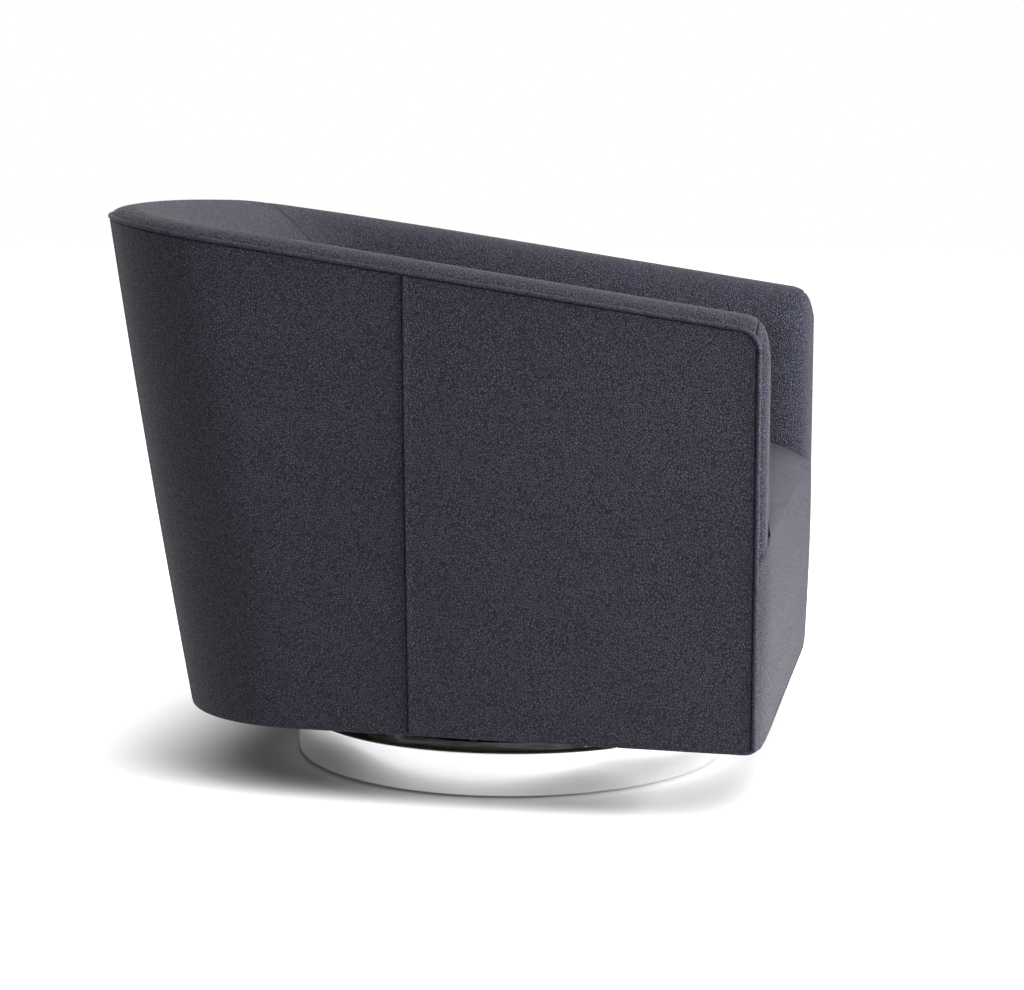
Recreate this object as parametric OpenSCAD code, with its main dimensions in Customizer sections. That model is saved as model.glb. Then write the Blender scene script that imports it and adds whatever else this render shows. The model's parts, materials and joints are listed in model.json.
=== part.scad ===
// Leather barrel chair on a polished drum that swivels.
// Millimetres. +Z is up, the sitter faces -Y, and the origin is where the swivel axis meets the floor.

/* [Shell outline] */
// Width of the shell across its two front edges
shell_w = 736; // [700:1:780]
// Distance from the swivel axis forward to the shell's front edges
front_edge = 380; // [365:1:395]
// Height of the leather's bottom edge above the floor
hem_z = 92.5; // [88:0.5:110]
// Half width of the shell at its bottom, where the rear corners start
bottom_half_w = 350; // [340:1:360]
// Half width of the shell at its top, where the rear corners start
top_half_w = 374; // [366:1:384]
// Plan radius of the rear corners at the bottom
bottom_corner_r = 195; // [180:1:210]
// Plan radius of the rear corners at the top
top_corner_r = 190; // [180:1:205]
// Where the rear corners start at the bottom, behind the axis
bottom_corner_y = 213; // [195:1:225]
// Where the rear corners start at the top, behind the axis
top_corner_y = 309; // [295:1:325]
// Angle that each rear corner turns through before the back's slow bow takes over
corner_turn = 80; // [74:1:83]
// How far the outside panels belly out halfway up
panel_belly = 3; // [0:0.5:6]

/* [Rim] */
// Height of the top welt at the front edge, before the corner is rounded
rim_front_z = 610; // [590:1:640]
// Rise of the rim towards the back, per unit of depth
rim_rise = 0.153; // [0.1:0.001:0.2]
// Radius of the rounded top front corner of the side panels
rim_corner_r = 22; // [16:1:30]
// Diameter of the welt cord
welt_d = 7.5; // [6:0.5:9]
// Distance of the cord's middle inside the outline
welt_in = 1.75; // [1.5:0.25:2.5]

/* [Padded roll] */
// Rise of the padded roll above the welt on the arms
roll_rise = 20.5; // [14:0.5:28]
// Rise of the padded roll above the welt along the back
back_rise = 16.5; // [12:0.5:24]
// Distance of the roll's ridge from the outside face
ridge_in = 34; // [28:1:42]
// Depth of the roll's inner round on the arms
arm_roll_drop = 62; // [50:1:80]
// Depth of the roll's inner round along the back
back_roll_drop = 100; // [80:1:110]
// Reach of the roll's inner round along the back
back_roll_in = 128; // [110:1:135]

/* [Seat] */
// Clear width between the arm pads
seat_w = 536; // [500:1:560]
// Depth from the swivel axis back to the inside back at seat height
inside_back_y = 215; // [195:1:235]
// Radius of the inside corners at seat height
inside_corner_r = 90; // [70:1:110]
// Height of the seat at the arms
seat_side_z = 412; // [400:1:430]
// Crown of the seat in the middle
seat_crown = 19; // [8:1:30]
// Fall of the seat towards the back
seat_fall = 12; // [0:1:24]
// Depth of the rounded front of the seat
seat_round_y = 94; // [70:1:110]
// Height of the rounded front of the seat at the arms
seat_round_z = 50; // [40:1:60]
// How far the apron stands in front of the front edges
apron_belly = 15; // [8:1:20]
// Height of the underside of the seat foam
deck_z = 306; // [296:1:320]
// Height where the apron meets the arm front, at its outer side
crease_out_z = 328; // [315:1:345]

/* [Drum base] */
// Outside radius of the drum
drum_r = 300; // [285:1:310]
// Height of the drum's top above the floor
drum_top_z = 63; // [58:0.5:64]
// Height of the drum's lower edge above the floor
drum_foot_z = 3.5; // [2:0.5:6]
// Wall of the drum
drum_wall = 2; // [1.5:0.25:3]
// Radius of the drum's rolled top edge
drum_edge_r = 5; // [3:0.5:8]
// Width of the flange that turns in at the drum's top
drum_flange = 46; // [30:1:60]
// Thickness of the base board
base_board_t = 18; // [15:1:21]
// Number of glides
glide_count = 6; // [5:1:8]
// Distance of the glide blocks' middle inside the drum's outside
glide_inset = 38; // [36:1:60]
// Diameter of a glide
glide_d = 30; // [24:1:36]

/* [Swivel] */
// Thickness of the swivel plates
plate_t = 3; // [2.5:0.5:4]
// Distance between opposite bolt rows of a plate
bolt_span = 260; // [240:1:270]
// Distance of a plate's bolts from its edge
plate_edge = 20; // [15:1:30]
// Diameter of the plate bolts
bolt_d = 8; // [6:1:10]
// Radius of the ball circle
ball_circle_r = 118; // [105:1:125]
// Diameter of the balls
ball_d = 12; // [10:1:14]
// Number of balls
ball_count = 20; // [12:1:24]
// Width of a raceway ring
race_w = 26; // [20:1:30]
// Diameter of the pivot pin
pin_d = 22; // [16:1:28]
// Running clearance of the swivel's round faces
run_gap = 0.05; // [0.03:0.01:0.1]

/* [Frame] */
// Thickness of the frame timber
timber_t = 25; // [20:1:28]
// Height of the bottom rails
rail_h = 60; // [50:1:70]
// Width of the top rails
top_rail_w = 40; // [34:1:48]
// Thickness of the top rails
top_rail_t = 22; // [18:1:26]
// Height of the two seat rails
seat_rail_h = 45; // [35:1:55]
// Width of a post along the wall
post_w = 44; // [34:1:54]
// Thickness of the outside boards
board_t = 3; // [2.5:0.5:4]
// Thickness of the leather
leather_t = 1.8; // [1.4:0.1:2.4]
// Thickness of the swivel board and its bearers
swivel_board_t = 18; // [15:1:24]
// How far the swivel board passes the plate on each side
board_margin = 50; // [45:1:65]
// Foam thickness in front of the back webbing
back_foam_t = 66; // [50:1:80]

/* [Springs] */
// Number of seat springs
spring_count = 5; // [4:1:6]
// Wire diameter of the seat springs
spring_wire_d = 4; // [3.5:0.5:5]
// Half width of a spring's loops
spring_loop = 22; // [16:1:28]
// Length of one bend of a spring
spring_pitch = 42; // [36:1:50]
// Width of a webbing strap
strap_w = 50; // [40:1:60]
// Number of straps across the back
strap_count = 4; // [3:1:5]

/* [Hidden] */

$fn = 96;

leather_colour = [0.23, 0.23, 0.26];
foam_colour = [0.93, 0.88, 0.72];
timber_colour = [0.80, 0.66, 0.46];
board_colour = [0.55, 0.42, 0.30];
steel_colour = [0.22, 0.22, 0.23];
chrome_colour = [0.86, 0.87, 0.89];
zinc_colour = [0.70, 0.71, 0.73];

// Clearance between layers that lie on each other
lay_gap = 0.3;
// Distance of the outside boards and of the timber from the outside face
board_in = leather_t + lay_gap;
timber_in = board_in + board_t + lay_gap;
inner_in = timber_in + timber_t;

front_half_w = shell_w / 2;
seat_half = seat_w / 2;
rim_y0 = -front_edge;
rim_angle = atan(rim_rise);
frame_z = hem_z + 3.5;
rail_top_z = frame_z + rail_h;
front_frame_y = -front_edge + 8;
seat_rail_top_z = deck_z - 16;
seam_y = 60;
seam_knot = 0.65;
outer_seam_f = 1.75;
inner_seam_f = 1.7;
crease_in_z = seat_side_z - seat_round_z;
edge_in = welt_in + welt_d / 2 + lay_gap;
skin_z = hem_z + 5.3;

function smooth(t) = t <= 0 ? 0 : t >= 1 ? 1 : t * t * (3 - 2 * t);
function mix(a, b, t) = a + (b - a) * t;
function flip(p) = [-p[0], p[1], p[2]];

// A U in plan. f runs 0..1 along the left side, 1..2 round the left rear corner,
// 2..3 along the back, 3..4 round the right rear corner and 4..5 along the right side.
function back_r(half, r) = r + (half - r) / cos(corner_turn);
function side_y(f, yc) =
    f <= seam_knot ? mix(-front_edge, seam_y, f / seam_knot) :
    mix(seam_y, yc, (f - seam_knot) / (1 - seam_knot));
function left_u(f, half0, half, r, yc) =
    f <= 1 ? let (y = side_y(f, yc)) [mix(-half0, -half, (y + front_edge) / (yc + front_edge)), y] :
    f <= 2 ? let (a = (f - 1) * corner_turn) [-(half - r) - r * cos(a), yc + r * sin(a)] :
    let (a = corner_turn + (f - 2) * (180 - 2 * corner_turn), rb = back_r(half, r))
        [-rb * cos(a), yc - (rb - r) * sin(corner_turn) + rb * sin(a)];
function u_curve(f, half0, half, r, yc) =
    f <= 3 ? left_u(f, half0, half, r, yc) :
    let (p = left_u(5 - f, half0, half, r, yc)) [-p[0], p[1]];
function u_angle(f) =
    f <= 1 ? 0 : f <= 2 ? (f - 1) * corner_turn :
    f <= 3 ? corner_turn + (f - 2) * (180 - 2 * corner_turn) : 180 - u_angle(5 - f);
function u_out(f) = [-cos(u_angle(f)), sin(u_angle(f))];

function bottom_u(f) = u_curve(f, front_half_w - 2, bottom_half_w, bottom_corner_r, bottom_corner_y);
function top_u(f) = u_curve(f, front_half_w, top_half_w, top_corner_r, top_corner_y);
function inside_u(f, gap = 0) =
    u_curve(f, seat_half - gap, seat_half - gap, inside_corner_r - gap, inside_back_y - inside_corner_r);

// Height of the rim at a depth y, and the fall of its front corner along a line m inside the outline
function rim_plane(y) = rim_front_z + rim_rise * (y - rim_y0);
function corner_fall(y, m = 0) =
    let (r = rim_corner_r - m, d = y - rim_y0 - m)
        d >= r ? 0 : r - sqrt(max(0, r * r - pow(r - d, 2)));
function rim_z(f, m) =
    let (y = top_u(f)[1]) rim_plane(y) + welt_in - m - corner_fall(y, m);

// The outside face at place f and height z, moved in by s
function wall_point(f, z, s) =
    let (b = bottom_u(f), t = top_u(f), n = u_out(f),
         w = (z - hem_z) / (rim_plane(t[1]) - hem_z),
         belly = panel_belly * smooth(min(f, 5 - f) / 0.5),
         q = mix(b, t, w) + n * (belly * 4 * w * (1 - w) - s))
        [q[0], q[1], z];
function bottom_point(f, s) = bottom_u(f) - s * u_out(f);
// Place f on the left side in front of the seam, at a depth y
function place(y) = seam_knot * (y - rim_y0) / (seam_y - rim_y0);
// Places where the shell's layers all have their columns, from a to b
half_grid = concat([0.3, 0.5, 0.65, 0.825], [for (k = [0:8]) 1 + k / 8], [2.17, 2.34]);
last_half = len(half_grid) - 1;
whole_grid = concat(half_grid, [2.5], [for (i = [last_half:-1:0]) 5 - half_grid[i]]);
function grid(a, b) = concat([a], [for (f = whole_grid) if (f > a + 0.02 && f < b - 0.02) f], [b]);

// Joins two sheets of points into one closed solid. a is the face seen from outside.
module sheet_solid(a, b, turn = false) {
    n = len(a);
    m = len(a[0]);
    points = concat([for (r = a) each r], [for (r = b) each r]);
    o = n * m;
    quads = concat(
        [for (i = [0:n - 2], j = [0:m - 2])
            [i * m + j, i * m + j + 1, (i + 1) * m + j + 1, (i + 1) * m + j]],
        [for (i = [0:n - 2], j = [0:m - 2])
            [o + i * m + j, o + (i + 1) * m + j, o + (i + 1) * m + j + 1, o + i * m + j + 1]],
        [for (i = [0:n - 2]) [i * m, (i + 1) * m, o + (i + 1) * m, o + i * m]],
        [for (i = [0:n - 2])
            [i * m + m - 1, o + i * m + m - 1, o + (i + 1) * m + m - 1, (i + 1) * m + m - 1]],
        [for (j = [0:m - 2]) [j, o + j, o + j + 1, j + 1]],
        [for (j = [0:m - 2])
            [(n - 1) * m + j, (n - 1) * m + j + 1, o + (n - 1) * m + j + 1, o + (n - 1) * m + j]]
    );
    tris = [for (q = quads) each [[q[0], q[1], q[2]], [q[0], q[2], q[3]]]];
    polyhedron(points, turn ? [for (t = tris) [t[2], t[1], t[0]]] : tris);
}

// The same with some quads left out: quad i, j is there where has[i][j] is true
module patch_solid(a, b, has) {
    n = len(a);
    m = len(a[0]);
    o = n * m;
    is_in = function (i, j) i < 0 || j < 0 || i > n - 2 || j > m - 2 ? false : has[i][j];
    quads = [for (i = [0:n - 2], j = [0:m - 2]) if (has[i][j])
        let (p = i * m + j, q = p + 1, r = p + m + 1, t = p + m)
            each concat(
                [[p, q, r, t], [o + p, o + t, o + r, o + q]],
                is_in(i, j - 1) ? [] : [[p, t, o + t, o + p]],
                is_in(i, j + 1) ? [] : [[q, o + q, o + r, r]],
                is_in(i - 1, j) ? [] : [[p, o + p, o + q, q]],
                is_in(i + 1, j) ? [] : [[t, r, o + r, o + t]])];
    polyhedron(concat([for (r = a) each r], [for (r = b) each r]),
        [for (q = quads) each [[q[2], q[1], q[0]], [q[3], q[2], q[0]]]]);
}

// Joins closed rings into a solid with flat ends
module ring_loft(rings, turn = false) {
    n = len(rings);
    m = len(rings[0]);
    sides = [for (i = [0:n - 2], j = [0:m - 1])
        let (k = (j + 1) % m)
            each [[i * m + j, i * m + k, (i + 1) * m + k], [i * m + j, (i + 1) * m + k, (i + 1) * m + j]]];
    ends = [[for (j = [m - 1:-1:0]) j], [for (j = [0:m - 1]) (n - 1) * m + j]];
    faces = concat(sides, ends);
    polyhedron([for (r = rings) each r],
        turn ? [for (t = faces) [for (i = [len(t) - 1:-1:0]) t[i]]] : faces);
}

// Closed rings for a leather cap: outer rings a, inner rings b, both ending in a flat face
module ring_shell(a, b, turn = false) {
    n = len(a);
    m = len(a[0]);
    o = n * m;
    side_a = [for (i = [0:n - 2], j = [0:m - 1])
        let (k = (j + 1) % m)
            each [[i * m + j, i * m + k, (i + 1) * m + k], [i * m + j, (i + 1) * m + k, (i + 1) * m + j]]];
    side_b = [for (t = side_a) [o + t[2], o + t[1], o + t[0]]];
    lip = [for (j = [0:m - 1])
        let (k = (j + 1) % m) each [[j, o + k, k], [j, o + j, o + k]]];
    ends = [[for (j = [0:m - 1]) (n - 1) * m + j], [for (j = [m - 1:-1:0]) o + (n - 1) * m + j]];
    faces = concat(side_a, side_b, lip, ends);
    polyhedron(concat([for (r = a) each r], [for (r = b) each r]),
        turn ? [for (t = faces) [for (i = [len(t) - 1:-1:0]) t[i]]] : faces);
}

// A cord of diameter d swept along a path, with rings square to it.
// marks point to each ring's first corner.
module cord(path, marks, d, sides = 8) {
    n = len(path);
    ring = function (i)
        let (p0 = path[max(i - 1, 0)], p1 = path[min(i + 1, n - 1)],
             t = (p1 - p0) / norm(p1 - p0),
             m0 = marks[i] - t * (marks[i] * t), m = m0 / norm(m0), up = cross(m, t))
            [for (k = [0:sides - 1])
                let (a = 360 * k / sides) path[i] + d / 2 * (m * cos(a) + up * sin(a))];
    ring_loft([for (i = [0:n - 1]) ring(i)]);
}

// A flat bar in plan between two lists of points
module plan_bar(outer, inner, h) {
    linear_extrude(h) polygon(concat(outer, [for (i = [len(inner) - 1:-1:0]) inner[i]]));
}

function steps(a, b, n) = [for (i = [0:n]) mix(a, b, i / n)];

// Base

// Band with a rolled top edge and a small lip at the foot
module base_drum() {
    skirt_r = drum_r - drum_wall;
    lip = 10;
    color(chrome_colour)
        rotate_extrude()
            difference() {
                union() {
                    translate([skirt_r, drum_foot_z])
                        square([drum_wall, drum_top_z - drum_edge_r - drum_foot_z]);
                    translate([drum_r - lip, drum_foot_z])
                        square([lip, drum_wall]);
                    translate([drum_r - drum_edge_r, drum_top_z - drum_edge_r])
                        intersection() {
                            circle(drum_edge_r, $fn = 48);
                            square(drum_edge_r);
                        }
                }
                translate([drum_r - drum_edge_r, drum_top_z - drum_edge_r])
                    intersection() {
                        circle(drum_edge_r - drum_wall, $fn = 48);
                        square(drum_edge_r);
                    }
            }
}

// Flat ring welded inside the band's rolled edge
module drum_top_ring() {
    weld_gap = 0.1;
    color(chrome_colour)
        translate([0, 0, drum_top_z - drum_wall])
            difference() {
                cylinder(r = drum_r - drum_edge_r - weld_gap, h = drum_wall);
                translate([0, 0, -1]) cylinder(r = drum_r - drum_flange, h = drum_wall + 2);
            }
}

board_top_z = drum_top_z - drum_wall;
board_bottom_z = board_top_z - base_board_t;
lower_plate_z = board_top_z;
upper_plate_top_z = frame_z;
plate_side = bolt_span + 2 * plate_edge;
swivel_board_side = plate_side + 2 * board_margin;
race_gap = 4;
ball_z = (lower_plate_z + plate_t + upper_plate_top_z - plate_t) / 2;
race_depth = ball_d / 2 - race_gap / 2;

function bolt_places() = [for (x = [-1, 1], y = [-1, 1]) [x * bolt_span / 2, y * bolt_span / 2]];

module base_board() {
    color(steel_colour)
        translate([0, 0, board_bottom_z])
            difference() {
                cylinder(r = drum_r - drum_wall - drum_edge_r, h = base_board_t);
                translate([0, 0, -1]) cylinder(d = 60, h = base_board_t + 2);
                for (p = bolt_places())
                    translate([p[0], p[1], -1]) cylinder(d = bolt_d, h = base_board_t + 2, $fn = 32);
            }
}

glide_h = drum_foot_z + drum_wall + 2;
glide_circle_r = drum_r - glide_inset;

module glide_blocks() {
    block_w = 44;
    color(timber_colour)
        for (i = [0:glide_count - 1])
            rotate(i * 360 / glide_count)
                translate([glide_circle_r - block_w / 2, -block_w / 2, glide_h])
                    cube([block_w - 10, block_w, board_bottom_z - glide_h]);
}

module floor_glides() {
    color([0.08, 0.08, 0.08])
        for (i = [0:glide_count - 1])
            rotate(i * 360 / glide_count)
                translate([glide_circle_r - 5, 0, 0])
                    rotate_extrude($fn = 48)
                        polygon([[0, 0], [glide_d / 2 - 2, 0], [glide_d / 2, 2], [glide_d / 2, glide_h],
                            [0, glide_h]]);
}

module base_screws() {
    screw_r = 2.5;
    head_r = 5;
    color(zinc_colour)
        for (i = [0:glide_count - 1])
            rotate(i * 360 / glide_count)
                translate([glide_circle_r - 24, 0, board_top_z])
                    rotate_extrude($fn = 32)
                        polygon([[0, 0], [screw_r, 0], [head_r, 0], [head_r, 1.5],
                            [head_r - 1.5, 3], [0, 3]]);
}

// Half of the swivel's bearing: a square plate with a grooved ring. side is 1 for the lower one.
module swivel_half(plate_z, side) {
    ring_h = (ball_z - race_gap / 2) - (lower_plate_z + plate_t);
    corner = 24;
    c = plate_side / 2;
    difference() {
        union() {
            translate([0, 0, plate_z])
                linear_extrude(plate_t)
                    difference() {
                        polygon([[c - corner, c], [c, c - corner], [c, corner - c], [c - corner, -c],
                            [corner - c, -c], [-c, corner - c], [-c, c - corner], [corner - c, c]]);
                        circle(d = pin_d + 2 * run_gap);
                        for (p = bolt_places())
                            translate(p) circle(d = bolt_d, $fn = 32);
                    }
            translate([0, 0, side > 0 ? plate_z + plate_t : plate_z - ring_h])
                difference() {
                    cylinder(r = ball_circle_r + race_w / 2, h = ring_h);
                    translate([0, 0, -1]) cylinder(r = ball_circle_r - race_w / 2, h = ring_h + 2);
                }
        }
        translate([0, 0, ball_z])
            rotate_extrude()
                translate([ball_circle_r, 0])
                    circle(d = ball_d + 2 * run_gap, $fn = 48);
    }
}

module swivel_lower_plate() {
    color(steel_colour) swivel_half(lower_plate_z, 1);
}

module swivel_upper_plate() {
    color(zinc_colour) swivel_half(upper_plate_top_z - plate_t, -1);
}

// A bolt with its head at the top, and a nut on the far side of what it holds
module plate_bolt(head_z, nut_z) {
    head_h = 5;
    nut_h = 6;
    head_w = bolt_d * 1.85;
    translate([0, 0, head_z]) cylinder(d = head_w, h = head_h, $fn = 6);
    translate([0, 0, nut_z - nut_h]) cylinder(d = head_w, h = nut_h, $fn = 6);
    translate([0, 0, nut_z]) cylinder(d = bolt_d, h = head_z - nut_z, $fn = 32);
}

module lower_plate_bolts() {
    color(zinc_colour)
        for (p = bolt_places())
            translate([p[0], p[1], 0])
                plate_bolt(lower_plate_z + plate_t, board_bottom_z);
}

module upper_plate_bolts() {
    color(zinc_colour)
        for (p = bolt_places())
            translate([p[0], p[1], 0])
                plate_bolt(upper_plate_top_z + swivel_board_t, upper_plate_top_z - plate_t);
}

module pivot_pin() {
    washer_d = pin_d + 16;
    color(zinc_colour)
        rotate_extrude()
            polygon([[0, lower_plate_z - 4], [washer_d / 2, lower_plate_z - 4],
                [washer_d / 2, lower_plate_z], [pin_d / 2, lower_plate_z],
                [pin_d / 2, upper_plate_top_z + 2], [washer_d / 2, upper_plate_top_z + 2],
                [washer_d / 2, upper_plate_top_z + 5], [0, upper_plate_top_z + 5]]);
}

module ball_cage() {
    cage_t = 2;
    color(zinc_colour)
        translate([0, 0, ball_z - cage_t / 2])
            difference() {
                cylinder(r = ball_circle_r + 9, h = cage_t);
                translate([0, 0, -1]) cylinder(r = ball_circle_r - 9, h = cage_t + 2);
                for (i = [0:ball_count - 1])
                    rotate(i * 360 / ball_count)
                        translate([ball_circle_r, 0, -1])
                            cylinder(d = ball_d + 0.3, h = cage_t + 2, $fn = 32);
            }
}

module swivel_balls() {
    color(chrome_colour)
        for (i = [0:ball_count - 1])
            rotate(i * 360 / ball_count)
                translate([ball_circle_r, 0, ball_z])
                    sphere(d = ball_d, $fn = 32);
}

// Timber frame

module swivel_board() {
    s = swivel_board_side;
    color(timber_colour)
        translate([0, 0, upper_plate_top_z])
            difference() {
                translate([-s / 2, -s / 2, 0]) cube([s, s, swivel_board_t]);
                translate([0, 0, -1]) cylinder(d = 60, h = swivel_board_t + 2);
                for (p = bolt_places())
                    translate([p[0], p[1], -1]) cylinder(d = bolt_d, h = swivel_board_t + 2, $fn = 32);
            }
}

bearer_w = 60;

// The same place for the bottom curve, also behind the seam
function low_place(y) =
    y <= seam_y ? place(y) : mix(seam_knot, 1, (y - seam_y) / (bottom_corner_y - seam_y));

// Two bearers lie across the side rails, on top of the swivel board
module swivel_bearers() {
    bearer_z = upper_plate_top_z + swivel_board_t;
    color(timber_colour)
        for (s = [-1, 1]) {
            y0 = s * (swivel_board_side / 2 - 32) - bearer_w / 2;
            ends = [for (y = [y0, y0 + bearer_w]) -bottom_point(low_place(y), inner_in + 0.1)[0]];
            translate([0, 0, bearer_z])
                linear_extrude(timber_t)
                    polygon([[-ends[0], y0], [ends[0], y0],
                        [ends[1], y0 + bearer_w], [-ends[1], y0 + bearer_w]]);
        }
}

side_rail_f = place(front_frame_y);

module left_side_rail() {
    color(timber_colour)
        translate([0, 0, frame_z])
            plan_bar([bottom_point(side_rail_f, timber_in), bottom_point(1, timber_in)],
                [bottom_point(side_rail_f, inner_in), bottom_point(1, inner_in)], rail_h);
}

module right_side_rail() {
    mirror([1, 0, 0]) left_side_rail();
}

module front_rail() {
    y1 = front_frame_y + timber_t;
    x0 = -bottom_point(side_rail_f, inner_in + 0.1)[0];
    x1 = -bottom_point(place(y1), inner_in + 0.1)[0];
    color(timber_colour)
        translate([0, 0, frame_z])
            linear_extrude(rail_h)
                polygon([[-x0, front_frame_y], [x0, front_frame_y], [x1, y1], [-x1, y1]]);
}

module rear_rail() {
    fs = grid(1, 4);
    color(timber_colour)
        translate([0, 0, frame_z])
            plan_bar([for (f = fs) bottom_point(f, timber_in)],
                [for (f = fs) bottom_point(f, inner_in)], rail_h);
}

module corner_blocks() {
    leg = 70;
    y = front_frame_y + timber_t;
    color(timber_colour)
        for (s = [-1, 1])
            scale([s, 1, 1])
                translate([0, 0, frame_z + 6])
                    linear_extrude(rail_h - 12)
                        polygon([[-bottom_point(place(y), inner_in + 0.1)[0], y + 0.1],
                            [-bottom_point(place(y + leg), inner_in + 0.1)[0], y + leg],
                            [-bottom_point(place(y), inner_in)[0] - leg, y + 0.1]]);
}

top_rail_drop = 4;
post_top_drop = top_rail_drop + top_rail_t + 0.5;
front_post_in = seat_half + 14;
front_post_drop = 16;

module left_front_post() {
    x0 = -front_half_w + timber_in + 3.6;
    x1 = -front_post_in;
    z1 = rim_plane(front_frame_y) - front_post_drop;
    color(timber_colour)
        translate([x0, front_frame_y, rail_top_z])
            cube([x1 - x0, timber_t, z1 - rail_top_z]);
}

module right_front_post() {
    mirror([1, 0, 0]) left_front_post();
}

// A post that follows the wall between two places, standing on the bottom rail
module wall_post(f0, f1) {
    fs = grid(f0, f1);
    zs = function (f) steps(rail_top_z, rim_plane(top_u(f)[1]) - post_top_drop, 3);
    sheet_solid([for (f = fs) [for (z = zs(f)) wall_point(f, z, timber_in)]],
        [for (f = fs) [for (z = zs(f)) wall_point(f, z, inner_in)]]);
}

module left_arm_posts() {
    span = place(post_w) - place(0);
    color(timber_colour) {
        wall_post(place(-190), place(-190) + span);
        wall_post(seam_knot - span, seam_knot);
        wall_post(0.88, 1);
    }
}

module right_arm_posts() {
    mirror([1, 0, 0]) left_arm_posts();
}

module back_posts() {
    color(timber_colour)
        for (f = [1.5, 2.17, 2.66, 3.375])
            wall_post(f, f + (f < 2 || f > 3 ? 0.125 : 0.17));
}

// A rail under the rim that leans with the wall
module rim_rail(fs) {
    rows = function (f, s)
        let (z = rim_plane(top_u(f)[1]) - top_rail_drop)
            [wall_point(f, z - top_rail_t, s), wall_point(f, z, s)];
    sheet_solid([for (f = fs) rows(f, timber_in + 1)], [for (f = fs) rows(f, timber_in + top_rail_w)]);
}

module left_top_rail() {
    color(timber_colour) rim_rail(grid(place(front_frame_y + timber_t + 0.3), 0.9995));
}

module right_top_rail() {
    mirror([1, 0, 0]) left_top_rail();
}

module back_top_rail() {
    color(timber_colour) rim_rail(grid(1, 4));
}

module seat_front_rail() {
    color(timber_colour)
        translate([-front_post_in, front_frame_y, seat_rail_top_z - seat_rail_h])
            cube([2 * front_post_in, timber_t, seat_rail_h]);
}

rear_rail_y = inside_back_y - 40;

module seat_rear_rail() {
    z = seat_rail_top_z - seat_rail_h / 2;
    x = -wall_point(low_place(rear_rail_y + timber_t / 2), z, inner_in)[0] - 1.2;
    color(timber_colour)
        translate([-x, rear_rail_y, seat_rail_top_z - seat_rail_h])
            cube([2 * x, timber_t, seat_rail_h]);
}

function spring_x(i) = mix(-seat_half + 70, seat_half - 70, i / (spring_count - 1));
spring_y0 = front_frame_y + timber_t / 2;
spring_y1 = rear_rail_y + timber_t / 2;
spring_bends = floor((spring_y1 - spring_y0) / spring_pitch);
spring_z = seat_rail_top_z + 1.5 + spring_wire_d / 2;

// One zigzag wire that arches a little from the front seat rail to the rear one
function spring_path(x) = [
    for (k = [0:4 * spring_bends])
        let (t = k / (4 * spring_bends), swing = sin(90 * k),
             flat = k % 2 == 0 ? 0 : 1)
            [x + spring_loop * (flat * (k % 4 == 1 ? 1 : -1)) * (k == 0 || k == 4 * spring_bends ? 0 : 1),
             mix(spring_y0, spring_y1, t), spring_z + 8 * sin(180 * t)]
];

module seat_springs() {
    color(zinc_colour)
        for (i = [0:spring_count - 1]) {
            path = spring_path(spring_x(i));
            cord(path, [for (p = path) [0, 0, 1]], spring_wire_d, 5);
        }
}

module spring_clips() {
    clip_w = 18;
    clip_t = 1.2;
    color(steel_colour)
        for (i = [0:spring_count - 1], y = [front_frame_y + 2, rear_rail_y + 2])
            translate([spring_x(i) - clip_w / 2, y, seat_rail_top_z])
                cube([clip_w, timber_t - 4, clip_t]);
}

// Upholstery sections

// How far round the corner the section has turned from an arm's to the back's
function backness(f) = f > 2.5 ? backness(5 - f) : smooth((f - 0.75) / 0.75);
function roll_reach(f) =
    let (z = rim_plane(top_u(f)[1]) - arm_roll_drop,
         side = abs(wall_point(f > 2.5 ? max(f, 4) : min(f, 1), z, 0)[0]) - seat_half - ridge_in)
        mix(side, back_roll_in, backness(f));
function rise(f) = mix(roll_rise, back_rise, backness(f));
function roll_drop(f) = mix(arm_roll_drop, back_roll_drop, backness(f));

// A point of the wall, in by s, at a height dz above the rim
function roll_point(f, s, dz) =
    let (y = top_u(f)[1], z = rim_plane(y) - corner_fall(y, -3) + dz) wall_point(f, z, s);

// The padded face from the welt over the ridge to the inside, then down to z_low, inset by e
function padded_face(f, e, z_low) =
    let (reach = roll_reach(f), drop = roll_drop(f), low = inside_u(f, -e),
         top = rise(f), knee = roll_point(f, ridge_in + reach - e, top - drop),
         foot = [low[0], low[1], seat_side_z - 30],
         lumbar = 10 * backness(f), bend = mix(1, 1.5, backness(f)))
        concat(
            [for (a = [asin((welt_d / 2 + 0.95) / (top - e)), 32, 50, 70])
                roll_point(f, ridge_in - (ridge_in - e) * cos(a), (top - e) * sin(a))],
            [for (a = [90, 70, 50, 32, 15])
                let (c = pow(cos(a), bend), h = pow(sin(a), bend))
                    roll_point(f, ridge_in + (reach - e) * c, top - drop + (drop - e) * h)],
            [knee],
            [for (t = [0.35, 0.7])
                mix(knee, foot, t) - concat(u_out(f) * lumbar * sin(180 * t), 0)],
            [foot, [low[0], low[1], z_low]]
        );

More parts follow.
